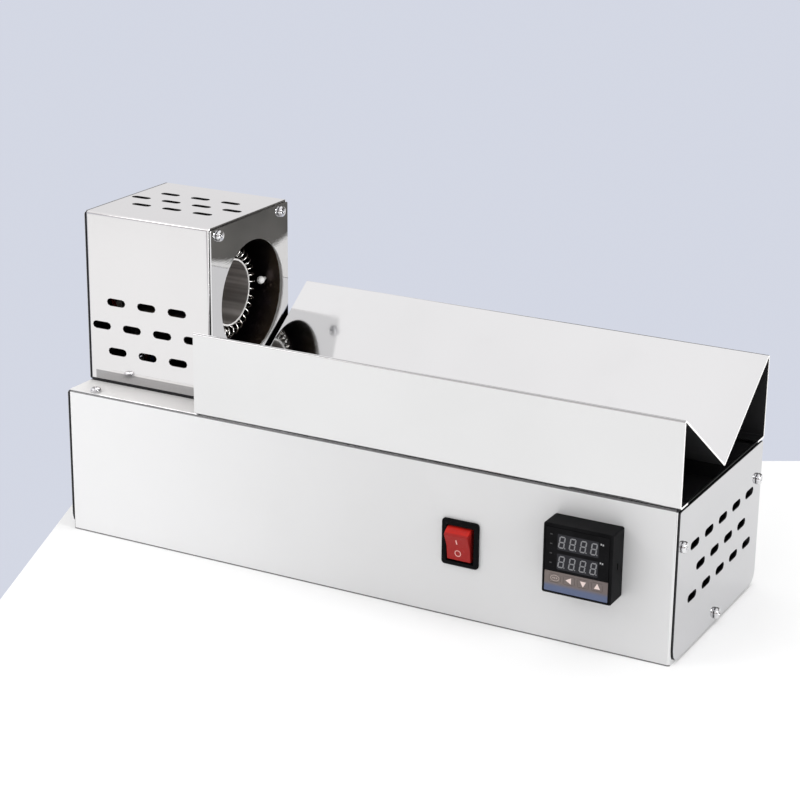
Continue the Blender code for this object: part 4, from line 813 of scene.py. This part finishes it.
# %% [markdown]
# Which way a screw's head looks follows from the piece that it holds, so
# from its node's name. The head's top is at that end of the CAD screw's box.


# %% Chrome, and a screw on every CAD screw
def chrome(name):
    """Bright plating: mirror-like, with slow clouds in its tone."""
    finish = Finish(name, Metallic=1.0)
    speck = finish.noise(900.0, 3.0)
    cloud = finish.noise(300.0, 2.0)
    finish.set("Base Color", finish.mix(cloud.ramp(0.4, 0.7), (0.76, 0.76, 0.77), (0.62, 0.62, 0.64)))
    finish.set("Roughness", 0.07 + 0.10 * speck)
    finish.bump(speck, 0.00005, 0.2)
    return finish.material


def outward_of(node):
    """Direction in which a CAD screw's head looks."""
    if node.startswith(("left_", "rear_")):
        return Vector((-1, 0, 0))
    if node.startswith(("right_", "mouth_")):
        return Vector((1, 0, 0))
    if node.startswith(("tray_", "inlet_")):
        return Vector((0, 1, 0))
    return Vector((0, 0, 1))


screw_nodes = sorted(name for name in frame["nodes"] if "screw" in name)
seats, outwards = [], []
for node in screw_nodes:
    low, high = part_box(node)
    outward = outward_of(node)
    middle = (low + high) / 2
    tip = max(corner.dot(outward) for corner in (low, high))
    seats.append(middle + outward * (tip - HEAD_HEIGHT - middle.dot(outward)))
    outwards.append(outward)

chrome_finish = chrome("chrome_plate")
screws = Tree("screws_on_points", Screw=one_screw, Seed=7, Material=chrome_finish)
direction = screws.node("GeometryNodeInputNamedAttribute", {"data_type": "FLOAT_VECTOR"}, {"Name": "outward"})
upright = screws.node("FunctionNodeAlignRotationToVector", {"axis": "Z"}, {"Vector": direction})
turns = {2: 0.0, 3: math.tau / 4, "Seed": screws.get("Seed")}
spin = screws.node("FunctionNodeRandomValue", {"data_type": "FLOAT"}, turns, 1)
turn = screws.node("FunctionNodeAxisAngleToRotation", None, {"Axis": (0.0, 0.0, 1.0), "Angle": spin})
turns = {"Rotation": upright, "Rotate By": turn}
rotation = screws.node("FunctionNodeRotateRotation", {"rotation_space": "LOCAL"}, turns)
shape = screws.node("GeometryNodeObjectInfo", None, {"Object": screws.get("Screw")}, "Geometry")
points = screws.node("GeometryNodeMeshToPoints", None, {"Mesh": screws.get("Geometry")})
copies = {"Points": points, "Instance": shape, "Rotation": rotation}
placed = screws.node("GeometryNodeInstanceOnPoints", None, copies)
screw_set = screws.run("chrome_screws", placed, seats, outward=outwards)
bpy.data.objects.remove(one_screw)
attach(screw_set, "housing")
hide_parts(*screw_nodes)
print("set", len(screw_nodes), "screws,", len(screw_set.data.polygons), "faces")

# %% [markdown]
# ## Heating wire
# The element is a resistance wire wound to a spring and the spring bent to a
# ring round the sleeve. That is a rule, a circle that travels on a circle, so
# the tree starts with a straight line of points and moves each one by its
# place along the line. Two straight tails run back through the disc.

# %% Wound wire
COIL_GAP, COIL_END = math.radians(14.0), math.radians(187.0)
RING_RADIUS = (sleeve_high.y - sleeve_low.y) / 2 + 0.3 * MM + WIRE_RADIUS + COIL_RADIUS


def resistance_wire(name):
    """Uninsulated wire, bright in some patches and browned by heat in others."""
    finish = Finish(name, Metallic=1.0)
    stain = finish.noise(420.0, 3.0)
    finish.set("Base Color", finish.mix(stain.ramp(0.4, 0.75), (0.90, 0.89, 0.87), (0.58, 0.52, 0.46)))
    finish.set("Roughness", 0.14 + 0.18 * stain)
    return finish.material


winding = Tree("wound_wire", Turns=float(COIL_TURNS), Ring=RING_RADIUS, Coil=COIL_RADIUS, Wire=WIRE_RADIUS,
               Material=resistance_wire("wire_bare"))
line = winding.node("GeometryNodeCurvePrimitiveLine", None, {"Start": (0.0, 0.0, 0.0), "End": (0.0, 0.0, 1.0)})
line = winding.node("GeometryNodeResampleCurve", None, {"Curve": line, "Count": COIL_TURNS * 18 + 1})
along = winding.node("GeometryNodeSplineParameter", output="Factor")
round_ring = along.math("MULTIPLY_ADD", math.tau - COIL_GAP, COIL_END + COIL_GAP / 2)
round_coil = (along * winding.get("Turns")).math("MULTIPLY_ADD", math.tau, -math.pi / 2)
radius = round_coil.math("COSINE").math("MULTIPLY_ADD", winding.get("Coil"), winding.get("Ring"))
x = round_coil.math("SINE").math("MULTIPLY_ADD", winding.get("Coil"), WIRE_X)
y = round_ring.math("COSINE").math("MULTIPLY_ADD", radius, AXIS_Y)
z = round_ring.math("SINE").math("MULTIPLY_ADD", radius, AXIS_Z)
place = winding.node("ShaderNodeCombineXYZ", None, {0: x, 1: y, 2: z})
wound = winding.node("GeometryNodeSetPosition", None, {"Geometry": line, "Position": place})
strands = winding.tree.nodes.new("GeometryNodeJoinGeometry")
winding.connect(strands.inputs[0], wound)
for side in (-1, 1):
    angle = COIL_END + side * COIL_GAP / 2
    end_y, end_z = AXIS_Y + RING_RADIUS * math.cos(angle), AXIS_Z + RING_RADIUS * math.sin(angle)
    ends = {"Start": (WIRE_X - COIL_RADIUS, end_y, end_z), "End": (coil_low.x, end_y, end_z)}
    winding.connect(strands.inputs[0], winding.node("GeometryNodeCurvePrimitiveLine", None, ends))
circle = {"Resolution": 8, "Radius": winding.get("Wire")}
section = winding.node("GeometryNodeCurvePrimitiveCircle", None, circle)
sweep = {"Curve": Wire(winding, strands.outputs[0]), "Profile Curve": section, "Fill Caps": True}
tube = winding.node("GeometryNodeCurveToMesh", None, sweep)
tube = winding.node("GeometryNodeSetShadeSmooth", None, {"Geometry": tube})
wire_piece = winding.run("wound_wire", tube)
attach(wire_piece, "housing")
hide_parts("heating_coil")
print("wound", COIL_TURNS, "turns,", len(wire_piece.data.polygons), "faces")

# %% [markdown]
# ## Controller face
# The face is one smoked window over a printed strip. Two lighter fields lie
# behind the window, each with four dim seven-bar digits. The strip is a warm
# grey that turns blue along its lower edge. Fields and strip are masks of
# rounded rectangles in the finish; the digits are thin bars of their own.


# %% Masks on the controller's face
def rounded_field(finish, middle, width, height, corner, soft=0.00006):
    """1 inside a rounded rectangle on the x-z plane, with a soft edge."""
    x, y, z = finish.axes()
    over_x = (abs(x - middle[0]) - (width / 2 - corner)).most(0.0)
    over_z = (abs(z - middle[1]) - (height / 2 - corner)).most(0.0)
    distance = (over_x * over_x + over_z * over_z) ** 0.5
    return 1.0 - (distance - corner).ramp(-soft, soft)


def face_point(across, down):
    """World (x, z) of a point that many millimetres from the face's upper left corner."""
    return case_low.x + across * MM, case_high.z - down * MM


FIELD_ROWS = (face_point(24.5, 11.4), face_point(24.5, 24.8))
FIELD_SIZE = (28.4 * MM, 10.9 * MM)


def smoked_window(name):
    """Gloss black window with the two digit fields and a faint haze."""
    finish = Finish(name, Specular_IOR_Level=0.05)
    haze = finish.noise(120.0, 3.0)
    fields = 0.0
    for row in FIELD_ROWS:
        fields = rounded_field(finish, row, *FIELD_SIZE, 0.9 * MM) + fields
    colour = finish.mix(haze.ramp(0.35, 0.75), (0.004, 0.004, 0.0045), (0.007, 0.007, 0.008))
    finish.set("Base Color", finish.mix(fields, colour, (0.028, 0.028, 0.032)))
    finish.set("Roughness", 0.16 + 0.10 * haze)
    return finish.material


def strip_colour(finish):
    """Warm grey that turns blue towards the strip's lower edge."""
    x, y, z = finish.axes()
    grey = finish.mix(x.ramp(overlay_low.x, overlay_high.x), (0.140, 0.110, 0.098), (0.115, 0.088, 0.082))
    return finish.mix(z.ramp(overlay_low.z + 3.0 * MM, overlay_low.z + 6.4 * MM), (0.060, 0.095, 0.200), grey)


def strip_print(name, grain_colour):
    """The strip's print under a satin film, with slightly paler grains."""
    finish = Finish(name, Coat_Weight=0.15, Coat_Roughness=0.2)
    grain = finish.noise(1500.0, 2.0)
    finish.set("Base Color", finish.mix(grain * 0.25, strip_colour(finish), grain_colour))
    finish.set("Roughness", 0.36 + 0.12 * grain)
    finish.bump(grain, 0.00004, 0.3)
    return finish.material


dress("display_window", "window_pane", smoked_window("window_smoked"), "smoked_window")
dress("key_overlay", "key_strip", strip_print("strip_print", (0.19, 0.16, 0.16)), "key_overlay")
print("dressed the controller's face")

# %% Seven-bar digits
DIGIT_WIDTH, DIGIT_HEIGHT, BAR = 3.45 * MM, 7.5 * MM, 0.82 * MM
DIGIT_PITCH, DIGIT_LEAN, FILM = 7.35 * MM, math.tan(math.radians(8)), 0.04 * MM


def bar_outline(start, end, width):
    """Six corners of a bar with pointed ends between two points."""
    line = Vector(end) - Vector(start)
    ahead = line.normalized() * (width / 2)
    side = Vector((-ahead.y, ahead.x))
    a, b = Vector(start) + ahead * 0.25, Vector(end) - ahead * 0.25
    return [a, a + ahead + side, b - ahead + side, b, b - ahead - side, a + ahead - side]


def digit_pattern():
    """All seven bars of a leaning figure eight and its point, on the x-y plane."""
    w, h = DIGIT_WIDTH / 2, DIGIT_HEIGHT / 2
    corners = {"tl": (-w, h), "tr": (w, h), "ml": (-w, 0), "mr": (w, 0), "bl": (-w, -h), "br": (w, -h)}
    bars = [bar_outline(corners[bar[:2]], corners[bar[2:]], BAR)
            for bar in ("tltr", "mlmr", "blbr", "tlml", "trmr", "mlbl", "mrbr")]
    outlines = [[(p.x + DIGIT_LEAN * p.y, p.y) for p in bar] for bar in bars]
    middle = w + 1.05 * BAR - DIGIT_LEAN * h
    outlines.append([(middle + BAR / 2 * math.cos(a), -h + BAR / 2 * math.sin(a)) for a in angles_round(12)])
    bm = bmesh.new()
    for outline in outlines:
        add_prism(bm, *([(u, v, height) for u, v in outline] for height in (0.0, FILM)))
    return mesh_object(bm, "digit_pattern")


def speckled(name, colour, other, grain=1600.0, rough=0.5, spread=0.15):
    """Printed ink or an unlit diffuser: two close colours in fine patches."""
    finish = Finish(name)
    patch = finish.noise(grain, 2.0)
    finish.set("Base Color", finish.mix(patch, colour, other))
    finish.set("Roughness", rough + spread * patch)
    return finish.material


pattern = digit_pattern()
segment = speckled("segment_dim", (0.165, 0.166, 0.176), (0.250, 0.252, 0.265), 1200.0, 0.35, 0.2)
digits = Tree("digits_in_rows", Digit=pattern, Pitch=DIGIT_PITCH, Material=segment)
sizes = {"Size X": digits.get("Pitch") * 3.0, "Size Y": FIELD_ROWS[0][1] - FIELD_ROWS[1][1]}
grid = digits.node("GeometryNodeMeshGrid", None, {**sizes, "Vertices X": 4, "Vertices Y": 2})
shape = digits.node("GeometryNodeObjectInfo", None, {"Object": digits.get("Digit")}, "Geometry")
placed = digits.node("GeometryNodeInstanceOnPoints", None, {"Points": grid, "Instance": shape})
middle_z = (FIELD_ROWS[0][1] + FIELD_ROWS[1][1]) / 2
shift = (FIELD_ROWS[0][0] - 0.1 * MM, WINDOW_Y + 0.01 * MM, middle_z)
moves = {"Geometry": placed, "Rotation": (math.pi / 2, 0.0, 0.0), "Translation": shift}
digit_piece = digits.run("display_digits", digits.node("GeometryNodeTransform", None, moves))
bpy.data.objects.remove(pattern)
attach(digit_piece, "housing")
print("display has", len(digit_piece.data.polygons), "faces")

# %% [markdown]
# ## Small marks
# Beside the digits are four indicator marks and four unit marks. The keys
# carry an oval with three dots, and triangles that point left, down and up:
# thin films like the digits, each riding on its own key.


# %% Marks
def film_piece(name, place, outlines, rings, material, body, sunk=FILM / 4):
    """Thin films on a face: place gives the point at u and v on the face, lifted off it.

    An outline is a list of (u, v), and a ring is an outer and an inner outline.
    """
    bm = bmesh.new()
    for outline in outlines:
        add_prism(bm, *([place(u, v, lift) for u, v in outline] for lift in (FILM, -sunk)))
    for ring in rings:
        add_ring(bm, [[place(u, v, lift) for u, v in loop] for lift in (FILM, -sunk) for loop in ring])
    piece = mesh_object(bm, name, material)
    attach(piece, body)
    return piece


def front_face(plane_y):
    """Places on a face that looks along -Y, by their x and z."""
    return lambda x, z, lift: (x, plane_y - lift, z)


def box_outline(middle, width, height):
    """Four corners of an upright rectangle."""
    x, z = middle
    return [(x + i * width / 2, z + j * height / 2) for i, j in ((-1, -1), (1, -1), (1, 1), (-1, 1))]


def oval(middle, half_width, half_height, count=32):
    """Points of an ellipse."""
    x, z = middle
    return [(x + half_width * math.cos(a), z + half_height * math.sin(a)) for a in angles_round(count)]


def triangle(middle, size, heading_deg):
    """Triangle that points along a heading."""
    corners = []
    for turn, reach in ((0, 1.0), (125, 1.1), (235, 1.1)):
        angle = math.radians(heading_deg + turn)
        corners.append((middle[0] + size * reach * math.cos(angle), middle[1] + size * reach * math.sin(angle)))
    return corners


def ink(name, colour):
    """Ink with slightly darker patches."""
    return speckled(name, colour, scaled(colour, 0.85))


key_ink = ink("ink_keys", (0.83, 0.68, 0.64))
window_face = front_face(WINDOW_Y)
marks = [box_outline(face_point(6.0, 6.9 + 6.5 * i), 1.6 * MM, 0.9 * MM) for i in range(4)]
film_piece("indicator_marks", window_face, marks, (), ink("ink_dim", (0.022, 0.022, 0.024)), "housing")
marks = [box_outline(face_point(across, down + 0.2 * (across - 40.8)), 0.9 * MM, 1.1 * MM)
         for down in (7.3, 20.0) for across in (40.2, 41.6)]
film_piece("unit_marks", window_face, marks, (), ink("ink_unit", (0.42, 0.42, 0.43)), "housing")

cap_finish = strip_print("cap_print", (0.20, 0.17, 0.17))
CAP_GROWTH = 0.16 * MM
for node, heading in (("key_set", None), ("key_left", 180), ("key_down", 270), ("key_up", 90)):
    low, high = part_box(node)
    middle = ((low.x + high.x) / 2, (low.z + high.z) / 2)
    cap = dress(node, node + "_cap", cap_finish, "key_cap", body=node)
    for vertex in cap.data.vertices:
        vertex.co.x += math.copysign(CAP_GROWTH, vertex.co.x - middle[0])
        vertex.co.z += math.copysign(CAP_GROWTH, vertex.co.z - middle[1])
    key_face = front_face(low.y)
    if heading is None:
        rings = [(oval(middle, 3.1 * MM, 2.1 * MM), oval(middle, 2.75 * MM, 1.75 * MM))]
        dots = [oval((middle[0] + dx * MM, middle[1]), 0.38 * MM, 0.55 * MM, 12) for dx in (-1.25, 0.0, 1.25)]
        film_piece("mark_set", key_face, dots, rings, ink("ink_faint", (0.46, 0.38, 0.35)), node)
    else:
        mark = triangle(middle, 2.35 * MM, heading)
        film_piece(f"mark_{node[4:]}", key_face, [mark], (), key_ink, node)
print("marked the keys")

# %% [markdown]
# ## Mouldings, ceramics, leads and pins
# The CAD shape of these is right, so they are only dressed in smooth copies
# with their finish. The switch's bezel alone is drawn out a little, to the
# top and to the left.

# %% Plain mouldings
PLAIN = (
    ("controller_case", "case_moulding", black_plastic, "black_plastic"),
    ("controller_clamp", "clamp_moulding", black_plastic, "black_plastic"),
    ("switch_frame", "switch_bezel", black_plastic, "black_plastic"),
    ("power_inlet", "inlet_moulding", black_plastic, "black_plastic"),
    ("relay", "relay_block", relay_plastic, "grey_plastic"),
    ("terminal_strip", "terminal_block", strip_plastic, "black_plastic"),
    ("coil_standoff_back", "bead_back", ceramic, "ceramic"),
    ("coil_standoff_front", "bead_front", ceramic, "ceramic"),
    ("coil_terminal", "terminal_ceramic", shaded_ceramic, "ceramic"),
    ("heater_lead_live", "lead_live", red_silicone, "red_lead"),
    ("heater_lead_neutral", "lead_neutral", blue_silicone, "blue_lead"),
    ("thermocouple_lead", "lead_probe", white_braid, "white_lead"),
    ("inlet_pin_live", "pin_live", chrome_finish, "bright_fastener"),
    ("inlet_pin_earth", "pin_earth", chrome_finish, "bright_fastener"),
    ("inlet_pin_neutral", "pin_neutral", chrome_finish, "bright_fastener"),
)
for node, name, material, slot_name in PLAIN:
    dress(node, name, material, slot_name, 60.0)
BEZEL_RISE, BEZEL_LEFT, CLEAR = 0.9 * MM, 0.5 * MM, 1.0 * MM
for vertex in bpy.data.objects["switch_bezel"].data.vertices:
    if vertex.co.y < shell_low.y + SKIN and vertex.co.z > rocker_high.z + CLEAR:
        vertex.co.z += BEZEL_RISE
    if vertex.co.y < shell_low.y + SKIN and vertex.co.x < rocker_low.x - CLEAR:
        vertex.co.x -= BEZEL_LEFT
print("dressed", len(PLAIN), "mouldings")

# %% [markdown]
# ## Rocker
# The rocker is clear red plastic, and its curved end is painted brighter
# than its face, as painted light. It is drawn as a side outline about its
# hinge, with finer steps than the CAD solid, drawn out sideways and
# bevelled. A pale bar and a ring are printed on its two halves.

# %% Rocker body
rocker_joint = next(joint for joint in frame["joints"] if joint["child"] == "rocker")
HINGE = Vector(rocker_joint["pos_m"])
FACE_DEPTH, FACE_HALF, FACE_SLOPE = 6.0 * MM, 10.0 * MM, math.radians(8.0)
FACE_RISE = FACE_HALF * math.tan(FACE_SLOPE)
SIDES_X = (rocker_low.x + 0.3 * MM, rocker_high.x - 2.0 * MM)
TILT, RIDGE_HEIGHT = math.radians(16.0), 8.6 * MM


def tilted(depth, height):
    """World (y, z) of a point of the level rocker, turned to its rest."""
    y = depth * math.cos(TILT) - height * math.sin(TILT)
    z = depth * math.sin(TILT) + height * math.cos(TILT)
    return HINGE.y + y, HINGE.z + z


def rocker_outline():
    """Closed side outline: two face halves, and a round heel about the hinge."""
    points = [(-FACE_DEPTH, 0.0), (-FACE_DEPTH - FACE_RISE, FACE_HALF)]
    reach = math.hypot(FACE_DEPTH + FACE_RISE, FACE_HALF)
    start, end = math.atan2(FACE_HALF, -FACE_DEPTH - FACE_RISE), math.radians(75)
    for step in range(1, 21):
        angle = start + (end - start) * step / 20
        points.append((reach * math.cos(angle), reach * math.sin(angle)))
    return points + [(depth, -height) for depth, height in points[:0:-1]]


def rocker_body():
    """The outline drawn out sideways, with every edge softened."""
    bm = bmesh.new()
    add_prism(bm, *([(x, *tilted(depth, height)) for depth, height in rocker_outline()] for x in SIDES_X))
    piece = mesh_object(bm, "rocker_moulding")
    soften(piece, 0.35 * MM, 3)
    smooth_shading(piece, 40.0)
    return piece


def red_painted_light(name):
    """Red plastic, painted brighter above the ridge than down the face, as painted light."""
    finish = Finish(name, Coat_Weight=0.06, Coat_Roughness=0.06, Specular_IOR_Level=0.12)
    x, y, z = finish.axes()
    flow = finish.noise(240.0, 3.0)
    # Painted light: the colour above the ridge is brighter than down the face.
    ridge = HINGE.z + RIDGE_HEIGHT
    colour = finish.mix(z.ramp(ridge - 0.4 * MM, ridge + 0.6 * MM), (0.34, 0.018, 0.016), (0.55, 0.020, 0.014))
    finish.set("Base Color", finish.mix(flow.ramp(0.3, 0.8) * 0.35, colour, (0.30, 0.012, 0.012)))
    finish.set("Roughness", 0.20 + 0.12 * flow)
    return finish.material


rocker = rocker_body()
rocker.data.materials.append(red_painted_light("plastic_red"))
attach(rocker, "rocker")
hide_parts("switch_rocker")
print("rocker has", len(rocker.data.polygons), "faces")


# %% Marks on the rocker
MARK_SHIFT = -1.2 * MM


def rocker_place(across, along, lift):
    """World point on the rocker's face: along is up from the middle, lift is off the face."""
    depth = -FACE_DEPTH - abs(along) * math.tan(FACE_SLOPE) - lift
    return Vector((HINGE.x + MARK_SHIFT + across, *tilted(depth, along)))


bar = box_outline((0.0, 4.5 * MM), 0.8 * MM, 3.8 * MM)
ring = [oval((0.0, -4.7 * MM), radius, radius) for radius in (2.30 * MM, 1.84 * MM)]
mark_piece = film_piece("rocker_marks", rocker_place, [bar], [ring], ink("ink_rocker", (0.90, 0.56, 0.52)),
                        "rocker", FILM)
print("rocker marks have", len(mark_piece.data.polygons), "faces")

# %% [markdown]
# ## Table, backdrop and light
# The machine stands on the corner of a white table, in front of a pale
# blue-grey wall. Polished sheets show their surroundings, so these are built
# for the mirror directions too: the table goes on to the left for mirror
# rays only, a dark curtain hangs where the mouth plate looks, with a pale
# card behind the hole in it, and the room is darker behind the camera,
# which draws the folds and the screw heads.

# %% Table, curtain and card
TABLE_EDGE = ((-0.296, 0.048), (3.2, 2.07), (3.2, -3.0), (0.856, -3.0))
WIDE_EDGE = ((-2.6, -1.29), (3.2, 2.07), (3.2, -3.0), (-2.6, -3.0))
CURTAIN_Y, CARD_Y = 0.50, 0.51
CURTAIN_EDGE = ((0.2355, 0.0313), (0.90, 0.0), (0.90, 0.80), (-0.30, 0.80), (-0.30, 0.45), (0.1423, 0.0720),
                (0.1590, 0.0576), (0.2116, 0.0339))
CARD_EDGE = ((-0.30, 0.0), (0.30, 0.0), (0.30, 0.45), (-0.30, 0.45))


def flat_piece(name, corners, material, hidden=()):
    """One flat polygon of the stage, hidden from some kinds of ray."""
    mesh = bpy.data.meshes.new(name)
    mesh.from_pydata(corners, [], [tuple(range(len(corners)))])
    mesh.materials.append(material)
    piece = linked(name, mesh)
    for rays in hidden:
        setattr(piece, f"visible_{rays}", False)


def matt(name, dark, light, scale=3.0):
    """Dull surface with slow clouds."""
    finish = Finish(name, Roughness=0.7)
    finish.set("Base Color", finish.mix(finish.noise(scale, 3.0).ramp(0.3, 0.7), dark, light))
    return finish.material


white = matt("table_white", (0.95, 0.95, 0.95), (0.97, 0.97, 0.97))
curtain = matt("curtain", (0.050, 0.048, 0.045), (0.150, 0.143, 0.132), 9.0)
card = matt("card", (0.84, 0.83, 0.82), (0.92, 0.91, 0.90))
flat_piece("table_top", [(x, y, 0.0) for x, y in TABLE_EDGE], white)
flat_piece("table_for_mirrors", [(x, y, -0.002) for x, y in WIDE_EDGE], white, ("camera",))
for name, depth, edge, material in (("curtain_for_mirrors", CURTAIN_Y, CURTAIN_EDGE, curtain),
                                    ("card_for_mirrors", CARD_Y, CARD_EDGE, card)):
    flat_piece(name, [(x, depth, z) for x, z in edge], material, ("camera", "diffuse", "shadow"))
print("table, curtain and card ready")

# %% [markdown]
# The world answers each kind of ray in its own way. The camera sees the wall,
# soft light comes evenly from all sides, and mirror rays see the room: pale
# from the wall up, dark to the far right, and dimmer in a low band behind the
# camera.

# %% World
WALL, ROOM_LIGHT = (0.655, 0.683, 0.775), (0.77, 0.77, 0.77)
LOW_ROOM, HIGH_ROOM = (0.865, 0.86, 0.87), (1.10, 1.09, 1.10)
DARK_ROOM, DARK_SIDE = (0.62, 0.56, 0.54), (0.05, 0.05, 0.052)
world = bpy.data.worlds.new("studio")
scene.world = world
world.use_nodes = True
sky = Nodes(world.node_tree)
sky.tree.nodes.clear()
towards_x, towards_y, towards_z = sky.split(sky.node("ShaderNodeTexCoord", output="Generated"))
above = sky.mix(towards_z.ramp(0.0, 1.0), LOW_ROOM, HIGH_ROOM)
room = sky.mix(towards_z.ramp(-0.02, 0.06), WALL, above)
low_band = towards_z.ramp(-0.02, 0.04) * towards_z.ramp(0.28, 0.45, 1.0, 0.0)
behind_camera = low_band * towards_y.ramp(-0.5, -0.1, 1.0, 0.0)
room = sky.mix(behind_camera, room, DARK_ROOM)
room = sky.mix(towards_x.ramp(0.66, 0.80), room, DARK_SIDE)
glossy, passing, seen = (sky.node("ShaderNodeLightPath", output=f"Is {kind} Ray")
                         for kind in ("Glossy", "Transmission", "Camera"))
colour = sky.mix(glossy.most(passing), ROOM_LIGHT, room)
colour = sky.mix(seen, colour, WALL)
background = sky.node("ShaderNodeBackground", None, {"Color": colour, "Strength": 1.0})
sky.connect(sky.tree.nodes.new("ShaderNodeOutputWorld").inputs["Surface"], background)
print("world ready")


# %% Lamps
def soft_lamp(name, place, target, side, radiance):
    """A square lamp that looks at a target, by the brightness of its surface."""
    data = bpy.data.lights.new(name, "AREA")
    data.shape, data.size, data.size_y = "RECTANGLE", side, side
    data.energy = radiance * math.pi * side * side
    lamp = linked(name, data)
    away = Vector(place) - Vector(target)
    lamp.matrix_world = Matrix.Translation(place) @ away.to_track_quat("Z", "Y").to_matrix().to_4x4()
    return lamp


lamp_above = soft_lamp("lamp_above", (-0.6, -0.3, 1.9), (0.0, 0.0, 0.1), 3.0, 0.40)
lamp_above.visible_glossy = False
soft_lamp("lamp_front", (-0.75, -0.80, 0.75), (-0.1, 0.0, 0.05), 0.5, 2.2)
soft_lamp("lamp_mouth", (1.5, -0.15, 0.62), (-0.126, 0.0, 0.171), 0.45, 18.0)
print("lamps ready")

# %% Finish
scene.view_settings.view_transform = "Standard"
